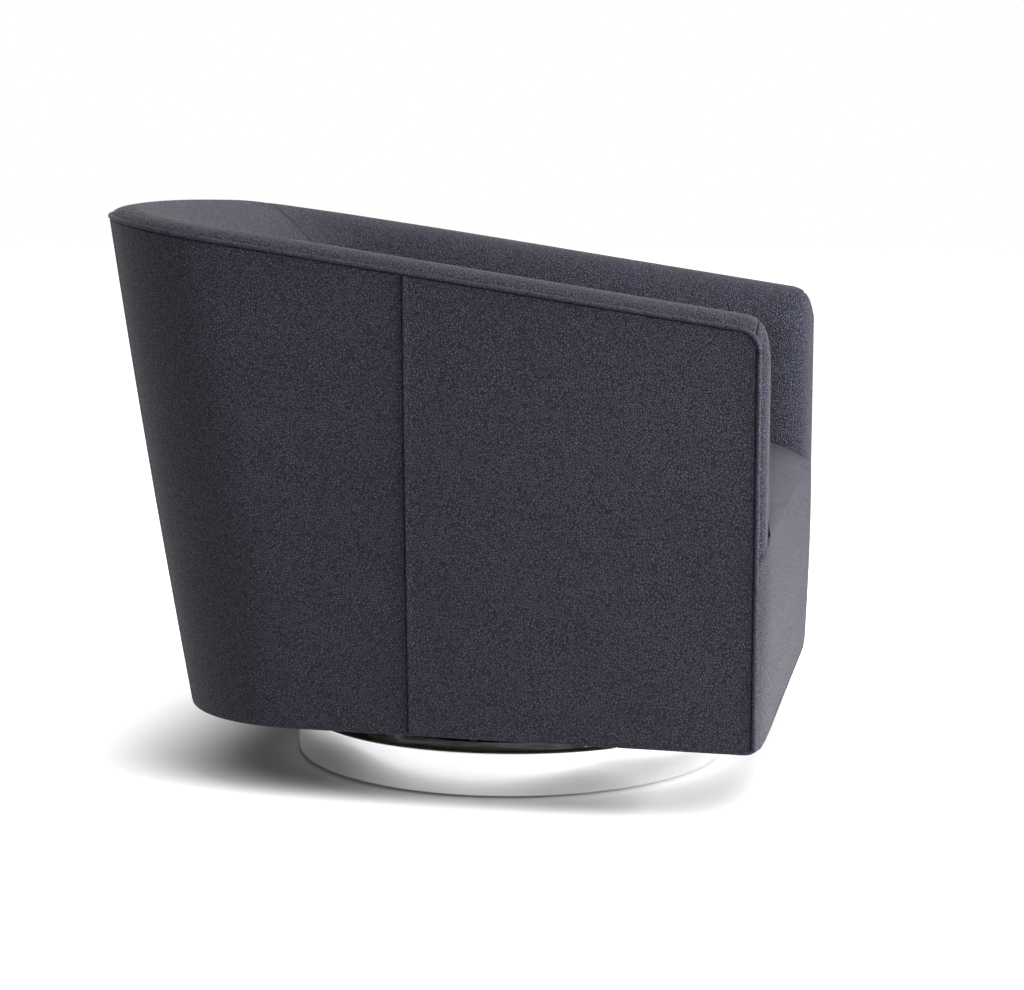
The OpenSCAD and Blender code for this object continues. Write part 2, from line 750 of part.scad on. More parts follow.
// The hidden face of a pad: over the top rail, or over the front post, then down
function hidden_face(f, z_low) =
    let (at_post = f < place(front_frame_y + timber_t + 0.5), s1 = timber_in + top_rail_w + 1.5,
         b = backness(f), s_low = at_post ? front_half_w - front_post_in + 1.5 : inner_in + 1,
         face = padded_face(f, leather_t + lay_gap, z_low),
         over = at_post ?
            [[10, 0.5], [20, -3.2], [35, -3.7], [50, -4.5], [70, -6], [s_low - 4, -8],
                [s_low, -14], [s_low, -22], [s_low, -30]] :
            [[10, 0.5], [18, -3.2], [30, -3.7], [s1 - 0.6, -3.7],
                for (d = [-1, -10, -20, -30, -38]) [s1 + b * 4, -top_rail_drop + d]])
        concat(
            [for (q = over) roll_point(f, q[0], q[1])],
            [for (i = [9:13]) let (p = face[i], q = wall_point(f, p[2], s_low))
                let (n = concat(u_out(f), 0)) mix(q, p + n * min(back_foam_t, (q - p) * n), b)]
        );

foam_low_z = 300;
arm_front_f = place(front_frame_y);

function arm_places() =
    concat([for (d = [0, 6, 13, timber_t + 0.2, timber_t + 0.8]) place(front_frame_y + d)],
        grid(place(-0.66 * front_edge), inner_seam_f));
function back_places() = grid(inner_seam_f, 5 - inner_seam_f);

module left_arm_foam() {
    fs = arm_places();
    color(foam_colour)
        sheet_solid([for (f = fs) padded_face(f, leather_t + lay_gap, foam_low_z)],
            [for (f = fs) hidden_face(f, foam_low_z)], true);
}

module right_arm_foam() {
    mirror([1, 0, 0]) left_arm_foam();
}

module back_foam() {
    fs = back_places();
    color(foam_colour)
        sheet_solid([for (f = fs) padded_face(f, leather_t + lay_gap, foam_low_z)],
            [for (f = fs) hidden_face(f, foam_low_z)], true);
}

module left_inside_arm_leather() {
    fs = arm_places();
    color(leather_colour)
        sheet_solid([for (f = fs) padded_face(f, 0, foam_low_z)],
            [for (f = fs) padded_face(f, leather_t, foam_low_z)], true);
}

module right_inside_arm_leather() {
    mirror([1, 0, 0]) left_inside_arm_leather();
}

module inside_back_leather() {
    fs = back_places();
    color(leather_colour)
        sheet_solid([for (f = fs) padded_face(f, 0, foam_low_z)],
            [for (f = fs) padded_face(f, leather_t, foam_low_z)], true);
}

module back_webbing() {
    color(board_colour)
        for (i = [0:strap_count - 1]) {
            z = mix(seat_side_z + 10, rim_plane(top_corner_y) - back_roll_drop - 40, i / (strap_count - 1));
            fs = grid(1.9, 3.1);
            sheet_solid(
                [for (f = fs) [for (dz = [0, strap_w]) strap_point(f, z + dz, 0)]],
                [for (f = fs) [for (dz = [0, strap_w]) strap_point(f, z + dz, 1.5)]]
            );
        }
}

function strap_point(f, z, s) = wall_point(f, z, inner_in + 0.3 + s);

// Outside boards and leather

function wall_column(f, s, low, m) = [for (z = steps(low, rim_z(f, m), 5)) wall_point(f, z, s)];
even_y = -0.53 * front_edge;
function front_places(m, n = 5) =
    [for (i = [0:n]) place(rim_y0 + m + (rim_corner_r - m) * (1 - cos(90 * i / n)))];

module wall_sheet(fs, s0, s1, low, m) {
    sheet_solid([for (f = fs) wall_column(f, s0, low, m)], [for (f = fs) wall_column(f, s1, low, m)]);
}

board_m = edge_in + 1;

module left_side_board() {
    color(board_colour)
        wall_sheet(concat(front_places(board_m), grid(place(even_y), outer_seam_f - 0.001)),
            board_in, board_in + board_t, skin_z, board_m);
}

module right_side_board() {
    mirror([1, 0, 0]) left_side_board();
}

module back_board() {
    color(board_colour)
        wall_sheet(grid(outer_seam_f + 0.001, 4.999 - outer_seam_f),
            board_in, board_in + board_t, skin_z, board_m);
}

seam_gap_f = 0.0008;

module left_side_front_leather() {
    color(leather_colour)
        wall_sheet(concat(front_places(edge_in), grid(place(even_y), seam_knot - seam_gap_f)),
            0, leather_t, skin_z, edge_in);
}

module left_side_rear_leather() {
    color(leather_colour)
        wall_sheet(grid(seam_knot + seam_gap_f, outer_seam_f - seam_gap_f), 0, leather_t, skin_z, edge_in);
}

module right_side_front_leather() {
    mirror([1, 0, 0]) left_side_front_leather();
}

module right_side_rear_leather() {
    mirror([1, 0, 0]) left_side_rear_leather();
}

module outside_back_leather() {
    color(leather_colour)
        wall_sheet(grid(outer_seam_f + seam_gap_f, 5 - outer_seam_f - seam_gap_f),
            0, leather_t, skin_z, edge_in);
}

// Seat and apron

function seat_top(x) = seat_crown * (1 - pow(abs(x) / seat_half, 2.4));
// How far the front face stands out at x and z
function apron_y(x, z) =
    let (across = 1 - pow(min(abs(x) / front_half_w, 1), 8),
         up = 0.55 + 0.45 * sin(180 * min(max((z - hem_z) / 440, 0), 1)))
        -front_edge - 1 - apron_belly * across * up;

// Depth of the inside back at seat height, at a distance x from the middle
function inside_y(x, gap) =
    let (half = seat_half - gap, r = inside_corner_r - gap, yc = inside_back_y - inside_corner_r,
         rb = back_r(half, r), d = abs(x))
        d <= rb * cos(corner_turn) ? yc - (rb - r) * sin(corner_turn) + sqrt(rb * rb - d * d) :
        yc + sqrt(max(0, r * r - pow(d - half + r, 2)));

// The seat's upper face at x, from the rear forward and over the front to the crease's height, inset by e
function seat_face(x, e) =
    let (top = seat_side_z + seat_top(x), b = seat_round_z + seat_top(x), zc = crease_in_z,
         y_front = apron_y(x, zc), yc = y_front + seat_round_y, rear = inside_y(x, lay_gap) - 0.5)
        concat(
            [for (t = [0, 0.15, 0.35, 0.6, 0.8])
                [x, mix(rear, yc, t), top - e - seat_fall * (1 - t) - 26 * pow(1 - t, 6)]],
            [for (a = [90, 72, 54, 36, 18, 0]) [x, yc - (seat_round_y - e) * cos(a), zc + (b - e) * sin(a)]]
        );

seat_side_x = seat_half - lay_gap;
half_columns = [0.4, 0.7, 0.84, 0.93, 0.985, 1];
seat_columns = concat([for (i = [5:-1:0]) -half_columns[i]], [0], half_columns) * seat_side_x;

module seat_foam() {
    e = leather_t + lay_gap + 0.5;
    limit = seat_half - e - lay_gap;
    xs = [for (x = seat_columns) max(-limit, min(limit, x))];
    fs = [for (x = xs) concat(seat_face(x, e), [[x, apron_y(x, deck_z) + e, deck_z]])];
    last = len(fs[0]) - 1;
    color(foam_colour)
        sheet_solid(fs,
            [for (f = fs)
                [for (i = [0:last]) [f[0][0], mix(f[0][1], front_frame_y, i / last), deck_z]]], true);
}

// Upper edge of the apron, which falls to the outside under the arm fronts
function crease_z(x) =
    let (t = (abs(x) - seat_half) / (front_half_w - seat_half))
        mix(crease_in_z, crease_out_z, pow(max(0, t), 1.5));
// Columns of the apron at a height z, inset by e at its sides
function apron_x(z, e) =
    let (edge = -wall_point(0, z, edge_in + e)[0],
         side = [for (t = [0, 0.3, 0.65, 1]) mix(seat_half + 2, edge, t)])
        concat([for (i = [3:-1:0]) -side[i]], seat_columns, side);
function apron_rows(i, e) =
    let (x0 = apron_x(crease_in_z, e)[i], top = crease_z(x0))
        [for (z = steps(top, skin_z, 5)) let (x = apron_x(z, e)[i]) [x, apron_y(x, z) + e, z]];

// The seat and the apron are one cover. Beside the seat it exists only below the crease.
module seat_leather() {
    n = len(apron_x(crease_in_z, 0));
    column = function (i, e)
        let (rows = apron_rows(i, e), x = rows[0][0],
             face = abs(x) < seat_half ? seat_face(x, e) : [for (k = [0:10]) rows[0]])
            concat(face, [for (k = [1:5]) rows[k]]);
    grids = [for (e = [0, leather_t]) [for (i = [0:n - 1]) column(i, e)]];
    has = [for (i = [0:n - 2]) [for (j = [0:14]) j >= 10 || (i >= 4 && i < n - 5)]];
    color(leather_colour) patch_solid(grids[0], grids[1], has);
}

module apron_foam() {
    e = leather_t + lay_gap;
    columns = [for (i = [0, 1, 2, 3, 4, 8, 10, 12, 16, 17, 18, 19, 20]) apron_rows(i, e)];
    squash = function (rows)
        let (top = abs(rows[0][0]) < seat_half + 1 ? deck_z - lay_gap : rows[0][2] - lay_gap)
            [for (k = [0:5]) let (z = mix(top, skin_z, k / 5)) [rows[k][0], apron_y(rows[k][0], z) + e, z]];
    color(foam_colour)
        sheet_solid([for (c = columns) squash(c)],
            [for (c = columns) [for (p = squash(c)) [p[0], front_frame_y - lay_gap, p[2]]]], true);
}

// Outline of the left arm's front face, inset by e, for a face whose top has fallen by fall
function arm_front_ring(y, e, fall) =
    let (top = rim_plane(y) - fall, xo = function (z) wall_point(0, z, edge_in + e)[0],
         reach = front_half_w - seat_half - ridge_in)
        concat(
            [for (t = [0.02, 0.3, 0.6, 1])
                let (x = mix(-seat_half - e, xo(crease_out_z), t)) [x, y, crease_z(x) + e + lay_gap]],
            [for (z = [top - 60, top + 2.8 - e / 2]) [xo(z), y, z]],
            [for (a = [13, 35, 65])
                [-front_half_w + ridge_in - (ridge_in - e) * cos(a), y, top + (roll_rise - e) * sin(a)]],
            [for (a = [90, 60, 30, 0])
                [-front_half_w + ridge_in + (reach - e) * cos(a), y,
                    top + roll_rise - arm_roll_drop + (arm_roll_drop - e) * sin(a)]],
            [[-seat_half - e, y, crease_in_z + 60]]
        );
front_belly = 6.5;
function arm_front_rings(e) = [
    arm_front_ring(front_frame_y - lay_gap, e, corner_fall(front_frame_y, -3)),
    arm_front_ring(rim_y0 + 2.8, e, corner_fall(rim_y0 + 2.8, -3)),
    arm_front_ring(rim_y0 - 1 + e / 2, e + 0.5, corner_fall(rim_y0 - 1, -3)),
    arm_front_ring(rim_y0 - 4.5 + e, e + 5, corner_fall(rim_y0 - 3, -3) - 4),
    arm_front_ring(rim_y0 - front_belly + e, e + 15, corner_fall(rim_y0 - 3, -3) - 4)
];

module left_arm_front_foam() {
    color(foam_colour) ring_loft(arm_front_rings(leather_t + lay_gap));
}

module right_arm_front_foam() {
    mirror([1, 0, 0]) left_arm_front_foam();
}

module left_arm_front_leather() {
    color(leather_colour) ring_shell(arm_front_rings(0), arm_front_rings(leather_t));
}

module right_arm_front_leather() {
    mirror([1, 0, 0]) left_arm_front_leather();
}

// Trim

function mark(f) = concat(u_out(f), 0);

module top_welt() {
    edge_f = place(rim_y0 + welt_in);
    low = [for (z = steps(skin_z, rim_z(edge_f, welt_in) - 40, 4)) z];
    fs = concat(front_places(welt_in, 6), grid(place(even_y), 2.5));
    left = concat([for (z = low) wall_point(edge_f, z, welt_in)],
        [for (f = fs) wall_point(f, rim_z(f, welt_in), welt_in)]);
    marks = concat([for (z = low) mark(0)], [for (f = fs) mark(f)]);
    n = len(left);
    color(leather_colour)
        cord(concat(left, [for (i = [n - 2:-1:0]) flip(left[i])]),
            concat(marks, [for (i = [n - 2:-1:0]) flip(marks[i])]), welt_d);
}

hem_d = 5;

module hem_roll() {
    fs = grid(place(rim_y0 + 3), 2.5);
    x1 = front_half_w - 12;
    front = [for (x = [0, seat_half / 2, seat_half])
        [-x, apron_y(x, skin_z) + hem_d / 2 + 0.4, hem_z + hem_d / 2]];
    side = [for (f = fs) let (p = bottom_point(f, hem_d / 2 + 0.2)) [p[0], p[1], hem_z + hem_d / 2]];
    corner = [[-x1, apron_y(x1, skin_z) + hem_d / 2 + 0.6, hem_z + hem_d / 2]];
    left = concat(front, corner, side);
    marks = [for (p = left) [0, 0, 1]];
    n = len(left);
    color(leather_colour)
        cord(concat(left, [for (i = [n - 2:-1:0]) flip(left[i])]),
            concat(marks, [for (i = [n - 2:-1:0]) marks[i]]), hem_d);
}

module dust_cover() {
    fs = grid(side_rail_f, 5 - side_rail_f);
    color([0.06, 0.06, 0.06])
        translate([0, 0, frame_z - 0.8])
            linear_extrude(0.8)
                difference() {
                    polygon([for (f = fs) bottom_point(f, timber_in + 1)]);
                    circle(r = plate_side * 0.72);
                }
}

base_drum();
drum_top_ring();
base_board();
glide_blocks();
floor_glides();
base_screws();
swivel_lower_plate();
lower_plate_bolts();
pivot_pin();
ball_cage();
swivel_balls();
swivel_upper_plate();
upper_plate_bolts();
swivel_board();
swivel_bearers();
front_rail();
left_side_rail();
right_side_rail();
rear_rail();
corner_blocks();
left_front_post();
right_front_post();
left_arm_posts();
right_arm_posts();
back_posts();
left_top_rail();
right_top_rail();
back_top_rail();
seat_front_rail();
seat_rear_rail();
seat_springs();
spring_clips();
back_webbing();
left_side_board();
right_side_board();
back_board();
left_arm_foam();
right_arm_foam();
back_foam();
seat_foam();
apron_foam();
left_arm_front_foam();
right_arm_front_foam();
left_side_front_leather();
left_side_rear_leather();
right_side_front_leather();
right_side_rear_leather();
outside_back_leather();
left_inside_arm_leather();
right_inside_arm_leather();
inside_back_leather();
left_arm_front_leather();
right_arm_front_leather();
seat_leather();
top_welt();
hem_roll();
dust_cover();
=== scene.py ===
import json
import math

import bmesh
import bpy
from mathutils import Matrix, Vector

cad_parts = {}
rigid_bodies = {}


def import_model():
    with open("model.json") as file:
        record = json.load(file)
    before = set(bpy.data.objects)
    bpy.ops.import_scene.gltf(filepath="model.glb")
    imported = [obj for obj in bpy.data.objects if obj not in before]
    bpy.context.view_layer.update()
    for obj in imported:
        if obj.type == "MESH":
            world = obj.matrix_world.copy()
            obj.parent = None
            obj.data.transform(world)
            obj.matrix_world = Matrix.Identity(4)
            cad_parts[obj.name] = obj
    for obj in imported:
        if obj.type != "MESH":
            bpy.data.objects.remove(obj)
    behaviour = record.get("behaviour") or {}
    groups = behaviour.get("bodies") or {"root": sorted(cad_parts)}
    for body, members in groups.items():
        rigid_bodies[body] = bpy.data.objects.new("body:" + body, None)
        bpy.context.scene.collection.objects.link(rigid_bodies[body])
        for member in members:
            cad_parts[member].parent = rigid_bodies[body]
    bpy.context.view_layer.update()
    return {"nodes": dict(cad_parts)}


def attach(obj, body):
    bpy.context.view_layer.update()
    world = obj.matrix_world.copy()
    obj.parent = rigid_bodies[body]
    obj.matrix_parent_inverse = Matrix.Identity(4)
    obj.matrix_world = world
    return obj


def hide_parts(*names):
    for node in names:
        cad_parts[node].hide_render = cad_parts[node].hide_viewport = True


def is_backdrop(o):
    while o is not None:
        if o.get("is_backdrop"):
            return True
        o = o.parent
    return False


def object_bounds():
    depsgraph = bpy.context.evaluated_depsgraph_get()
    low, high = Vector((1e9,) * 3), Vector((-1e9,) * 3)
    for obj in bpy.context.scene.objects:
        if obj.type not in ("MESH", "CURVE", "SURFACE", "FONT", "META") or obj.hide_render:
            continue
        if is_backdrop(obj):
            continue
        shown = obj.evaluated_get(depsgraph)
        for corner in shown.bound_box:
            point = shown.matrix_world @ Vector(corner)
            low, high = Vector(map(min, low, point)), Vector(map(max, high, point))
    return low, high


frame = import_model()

nodes = frame["nodes"]
scene = bpy.context.scene
for thing in [o for o in bpy.data.objects if o.name in ("Cube", "Light", "Camera")]:
    bpy.data.objects.remove(thing)
scene.view_settings.view_transform = "Standard"


# The studio: a camera low beside the chair's left arm, a white floor that runs
# into a white background, a wide soft box overhead towards the front of the
# chair, and a stronger one low in front of it.
camera_data = bpy.data.cameras.new("camera")
camera_data.lens = 80.0
camera_data.sensor_width = 36.0
camera_data.clip_end = 60.0
camera = bpy.data.objects.new("camera", camera_data)
scene.collection.objects.link(camera)
sight = Vector((0.96849, 0.20427, -0.14246))
camera.location = (-3.0903, -0.6528, 0.8091)
camera.rotation_mode = "QUATERNION"
camera.rotation_quaternion = sight.to_track_quat("-Z", "Y")
scene.camera = camera


def soft_box(name, place, aim, size, watts):
    lamp = bpy.data.lights.new(name, "AREA")
    lamp.shape = "RECTANGLE"
    lamp.size, lamp.size_y = size
    lamp.energy = watts
    box = bpy.data.objects.new(name, lamp)
    scene.collection.objects.link(box)
    box.location = place
    box.rotation_mode = "QUATERNION"
    box.rotation_quaternion = (Vector(aim) - Vector(place)).to_track_quat("-Z", "Y")


soft_box("overhead_box", place=(-0.65, -0.90, 2.8), aim=(0.0, 0.0, 0.4), size=(2.2, 2.2), watts=56.0)
soft_box("front_box", place=(-0.45, -3.30, 1.2), aim=(0.0, 0.0, 0.35), size=(2.2, 1.4), watts=250.0)


def reckoned(tree, operation, *values, clamp=False):
    """The result of a Math node on sockets and numbers."""
    node = tree.nodes.new("ShaderNodeMath")
    node.operation = operation
    node.use_clamp = clamp
    for socket, value in zip(node.inputs, values):
        if isinstance(value, bpy.types.NodeSocket):
            tree.links.new(value, socket)
        else:
            socket.default_value = value
    return node.outputs[0]


def ranged(tree, value, low, high, new_low, new_high, smooth=False):
    node = tree.nodes.new("ShaderNodeMapRange")
    if smooth:
        node.interpolation_type = "SMOOTHSTEP"
    node.inputs["From Min"].default_value = low
    node.inputs["From Max"].default_value = high
    node.inputs["To Min"].default_value = new_low
    node.inputs["To Max"].default_value = new_high
    tree.links.new(value, node.inputs["Value"])
    return node.outputs["Result"]


def seen_rays(tree):
    """1 for the rays by which the camera, metal or glass sees a surface, else 0."""
    path = tree.nodes.new("ShaderNodeLightPath")
    two = reckoned(tree, "ADD", path.outputs["Is Camera Ray"], path.outputs["Is Glossy Ray"])
    return reckoned(tree, "ADD", two, path.outputs["Is Transmission Ray"], clamp=True)


world = bpy.data.worlds.new("studio")
scene.world = world
world.use_nodes = True
air = world.node_tree
air.nodes.clear()
air_out = air.nodes.new("ShaderNodeOutputWorld")
air_mix = air.nodes.new("ShaderNodeMixShader")
air.links.new(seen_rays(air), air_mix.inputs["Fac"])
for slot, colour, strength in ((1, (0.96, 0.98, 1.0, 1.0), 0.26), (2, (1.0, 1.0, 1.0, 1.0), 1.0)):
    background = air.nodes.new("ShaderNodeBackground")
    background.inputs["Color"].default_value = colour
    background.inputs["Strength"].default_value = strength
    air.links.new(background.outputs[0], air_mix.inputs[slot])
air.links.new(air_mix.outputs[0], air_out.inputs["Surface"])

bpy.ops.object.select_all(action="DESELECT")
bpy.ops.mesh.primitive_plane_add(size=40.0, location=(0.0, 0.0, 0.0))
floor = bpy.context.object
floor.name = "studio_floor"
floor_white = bpy.data.materials.new("floor_white")
floor_white.use_nodes = True
tree = floor_white.node_tree
tree.nodes.clear()
floor_out = tree.nodes.new("ShaderNodeOutputMaterial")
floor_sum = tree.nodes.new("ShaderNodeAddShader")
floor_matt = tree.nodes.new("ShaderNodeBsdfDiffuse")
floor_matt.inputs["Color"].default_value = (0.74, 0.74, 0.74, 1.0)
floor_glow = tree.nodes.new("ShaderNodeEmission")

# Near the drum the floor is matt grey and takes the shadow. From glow_start on it turns to a white glow,
# which is weaker in the metal's reflections. The glow is held off inside an outline shaped like the chair's
# shadow, so the grey round the chair is partly painted shade, and the weaker glow paints a darker
# reflection of the floor in the metal.
glow_start, glow_full = 0.34, 0.515
where = tree.nodes.new("ShaderNodeTexCoord")
ways = tree.nodes.new("ShaderNodeSeparateXYZ")
tree.links.new(where.outputs["Object"], ways.inputs["Vector"])
sideways = reckoned(tree, "ABSOLUTE", reckoned(tree, "MULTIPLY", ways.outputs["X"], 1.15))
frontwards = reckoned(tree, "MULTIPLY", ways.outputs["Y"], -1.04)
# The outline reaches further behind the chair, like its shadow: painted shade there.
backwards = reckoned(tree, "MULTIPLY_ADD", ways.outputs["Y"], 0.55, 0.16)
lengthways = reckoned(tree, "MAXIMUM", frontwards, backwards)
fourth_powers = reckoned(tree, "ADD", reckoned(tree, "POWER", sideways, 4.0),
                         reckoned(tree, "POWER", lengthways, 4.0))
spread = reckoned(tree, "POWER", fourth_powers, 0.25)
in_metal = tree.nodes.new("ShaderNodeLightPath").outputs["Is Glossy Ray"]
reach = reckoned(tree, "MULTIPLY_ADD", in_metal, 0.06, spread)
glow_outside_painted_shade = ranged(tree, reach, glow_start, glow_full, 0.0, 1.0, smooth=True)
# In the metal's rays the glow is cut to 0.48: a painted darker reflection of the floor.
glow = reckoned(tree, "MULTIPLY", glow_outside_painted_shade, reckoned(tree, "MULTIPLY_ADD", in_metal, -0.52, 1.0))
tree.links.new(reckoned(tree, "MULTIPLY", glow, seen_rays(tree)), floor_glow.inputs["Strength"])
tree.links.new(floor_matt.outputs[0], floor_sum.inputs[0])
tree.links.new(floor_glow.outputs[0], floor_sum.inputs[1])
tree.links.new(floor_sum.outputs[0], floor_out.inputs["Surface"])
floor.data.materials.append(floor_white)
floor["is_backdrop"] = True


# The drum: a band of polished steel, 2 mm thick, rolled over at the top and
# turned in at the foot. It stands on hidden glides and doesn't turn.
def finish(name, colour, roughness, metallic=0.0):
    """A new material with one shader, and the parts of its tree."""
    made = bpy.data.materials.new(name)
    made.use_nodes = True
    shader = made.node_tree.nodes["Principled BSDF"]
    shader.inputs["Base Color"].default_value = (*colour, 1.0)
    shader.inputs["Roughness"].default_value = roughness
    shader.inputs["Metallic"].default_value = metallic
    return made, made.node_tree, shader


def place_on(tree, scale=(1.0, 1.0, 1.0)):
    """The place on the piece, in metres, stretched by scale."""
    where = tree.nodes.new("ShaderNodeTexCoord")
    mapping = tree.nodes.new("ShaderNodeMapping")
    mapping.inputs["Scale"].default_value = scale
    tree.links.new(where.outputs["Object"], mapping.inputs["Vector"])
    return mapping.outputs["Vector"]


def cloud(tree, place, scale, detail=3.0, roughness=0.5):
    noise = tree.nodes.new("ShaderNodeTexNoise")
    noise.inputs["Scale"].default_value = scale
    noise.inputs["Detail"].default_value = detail
    noise.inputs["Roughness"].default_value = roughness
    tree.links.new(place, noise.inputs["Vector"])
    return noise.outputs["Fac"]


def blended(tree, mask, first, second):
    """A colour that goes from first to second as mask goes from 0 to 1."""
    mix = tree.nodes.new("ShaderNodeMix")
    mix.data_type = "RGBA"
    tree.links.new(mask, mix.inputs["Factor"])
    for socket, colour in ((mix.inputs[6], first), (mix.inputs[7], second)):
        if isinstance(colour, bpy.types.NodeSocket):
            tree.links.new(colour, socket)
        else:
            socket.default_value = (*colour, 1.0)
    return mix.outputs[2]


def bumped(tree, shader, height, distance, strength=1.0):
    bump = tree.nodes.new("ShaderNodeBump")
    bump.inputs["Distance"].default_value = distance
    bump.inputs["Strength"].default_value = strength
    tree.links.new(height, bump.inputs["Height"])
    tree.links.new(bump.outputs["Normal"], shader.inputs["Normal"])


polished_steel, tree, shader = finish("polished_steel", (0.80, 0.80, 0.81), 0.07, 1.0)
smudge = cloud(tree, place_on(tree), 9.0, 4.0, 0.6)
tree.links.new(ranged(tree, smudge, 0.35, 0.75, 0.045, 0.12), shader.inputs["Roughness"])
tone = blended(tree, ranged(tree, smudge, 0.3, 0.8, 0.0, 1.0), (0.83, 0.83, 0.84), (0.77, 0.77, 0.78))
tree.links.new(tone, shader.inputs["Base Color"])
bumped(tree, shader, cloud(tree, place_on(tree, (1.0, 1.0, 0.12)), 16.0, 2.0), 0.0006, 0.25)

drum_radius = 0.300
drum_foot = 0.0035
drum_height = 0.0595
top_opening, foot_opening = 0.2949, 0.290
bpy.ops.object.select_all(action="DESELECT")
bpy.ops.mesh.primitive_circle_add(vertices=240, radius=drum_radius, location=(0.0, 0.0, drum_foot))
drum = bpy.context.object
drum.name = "drum_band"


def turned_in(radius):
    """Runs the selected ring of the drum flat inwards to a radius."""
    bpy.ops.mesh.extrude_region_move(TRANSFORM_OT_translate={"value": (0.0, 0.0, 0.0)})
    bpy.ops.transform.resize(value=(radius / drum_radius, radius / drum_radius, 1.0))


bpy.ops.object.mode_set(mode="EDIT")
bpy.ops.mesh.select_all(action="SELECT")
bpy.ops.mesh.extrude_region_move(TRANSFORM_OT_translate={"value": (0.0, 0.0, drum_height)})
turned_in(top_opening)
bpy.ops.object.mode_set(mode="OBJECT")


def pick(piece, chosen):
    """Selects the edges whose middle passes a test."""
    mesh = piece.data
    for part in (*mesh.vertices, *mesh.edges, *mesh.polygons):
        part.select = False
    for e in mesh.edges:
        a, b = (mesh.vertices[i] for i in e.vertices)
        if chosen((a.co + b.co) / 2):
            e.select = a.select = b.select = True


def rounded(piece, chosen, radius, segments):
    """Bevels the edges whose middle passes a test."""
    pick(piece, chosen)
    bpy.ops.object.mode_set(mode="EDIT")
    bpy.ops.mesh.bevel(offset=radius, segments=segments, affect="EDGES")
    bpy.ops.object.mode_set(mode="OBJECT")


pick(drum, lambda m: m.z < 0.0001)
bpy.ops.object.mode_set(mode="EDIT")
bpy.ops.mesh.select_mode(type="EDGE")
turned_in(foot_opening)
bpy.ops.object.mode_set(mode="OBJECT")
rounded(drum, lambda m: m.xy.length > 0.2995 and m.z > 0.0590, radius=0.0048, segments=6)
rounded(drum, lambda m: m.xy.length > 0.2990 and m.z < 0.0010, radius=0.0012, segments=2)


def settled(piece):
    """Puts the piece's place into its mesh and leaves its object at the origin."""
    piece.data.transform(piece.matrix_world)
    piece.matrix_world.identity()


def turned_out(piece, way):
    """Points all faces of an open sheet to the side that way gives for a face's middle."""
    total = sum(p.normal.dot(way(p.center)) * p.area for p in piece.data.polygons)
    if total < 0:
        piece.data.flip_normals()


def shaped(piece, kind, **settings):
    """Adds one modifier with its settings and applies it."""
    bpy.ops.object.select_all(action="DESELECT")
    piece.select_set(True)
    bpy.context.view_layer.objects.active = piece
    change = piece.modifiers.new(kind.lower(), kind)
    for key, value in settings.items():
        setattr(change, key, value)
    bpy.ops.object.modifier_apply(modifier=change.name)


settled(drum)
turned_out(drum, lambda c: Vector((c.x, c.y, 0.0)).normalized())
shaped(drum, "SOLIDIFY", thickness=0.002, offset=-1.0, use_even_offset=True)
for p in drum.data.polygons:
    p.use_smooth = True
bpy.ops.object.shade_smooth_by_angle(angle=math.radians(35))
drum.data.materials.append(polished_steel)
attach(drum, "standing_base")
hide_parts("base_drum")


# What lies hidden in the base: a black board under the drum's top ring, timber
# blocks on plastic glides, and two pressed plates that run on a ring of balls
# round a rivet. These keep the shapes of the frame and get their finishes here.
def dressed(names, material):
    for name in names:
        for holder in nodes[name].material_slots:
            holder.material = material


def worn(tree, shader, low, high, scale=30.0):
    """Cloudy roughness, as on handled or rolled stock."""
    tree.links.new(ranged(tree, cloud(tree, place_on(tree), scale, 4.0), 0.3, 0.7, low, high),
                   shader.inputs["Roughness"])


def mottled(tree, shader, scale, detail, light, dark):
    """A base colour that goes cloudily from light to dark."""
    mask = ranged(tree, cloud(tree, place_on(tree), scale, detail), 0.35, 0.65, 0.0, 1.0)
    tree.links.new(blended(tree, mask, light, dark), shader.inputs["Base Color"])


dressed(["drum_top_ring"], polished_steel)

zinc, tree, shader = finish("zinc_plate", (0.55, 0.56, 0.58), 0.35, 1.0)
mottled(tree, shader, 60.0, 3.0, (0.60, 0.61, 0.62), (0.47, 0.49, 0.52))
worn(tree, shader, 0.28, 0.48)
dressed(["lower_plate_bolts", "pivot_pin", "ball_cage", "base_screws",
         "swivel_upper_plate", "upper_plate_bolts"], zinc)

ball_steel, tree, shader = finish("ball_steel", (0.70, 0.70, 0.71), 0.12, 1.0)
worn(tree, shader, 0.08, 0.18, 80.0)
dressed(["swivel_balls"], ball_steel)

glide_plastic, tree, shader = finish("glide_plastic", (0.020, 0.020, 0.021), 0.5)
worn(tree, shader, 0.42, 0.62, 120.0)
bumped(tree, shader, cloud(tree, place_on(tree), 900.0, 2.0), 0.0002, 0.6)
dressed(["floor_glides"], glide_plastic)

black_board, tree, shader = finish("black_board", (0.014, 0.014, 0.015), 0.72)
worn(tree, shader, 0.62, 0.82, 90.0)
bumped(tree, shader, cloud(tree, place_on(tree), 500.0, 3.0), 0.0003, 0.7)
dressed(["base_board"], black_board)

black_steel, tree, shader = finish("black_steel", (0.022, 0.022, 0.023), 0.42)
shader.inputs["Coat Weight"].default_value = 0.2
worn(tree, shader, 0.34, 0.55, 70.0)
bumped(tree, shader, cloud(tree, place_on(tree), 700.0, 2.0), 0.0001, 0.5)
dressed(["swivel_lower_plate"], black_steel)


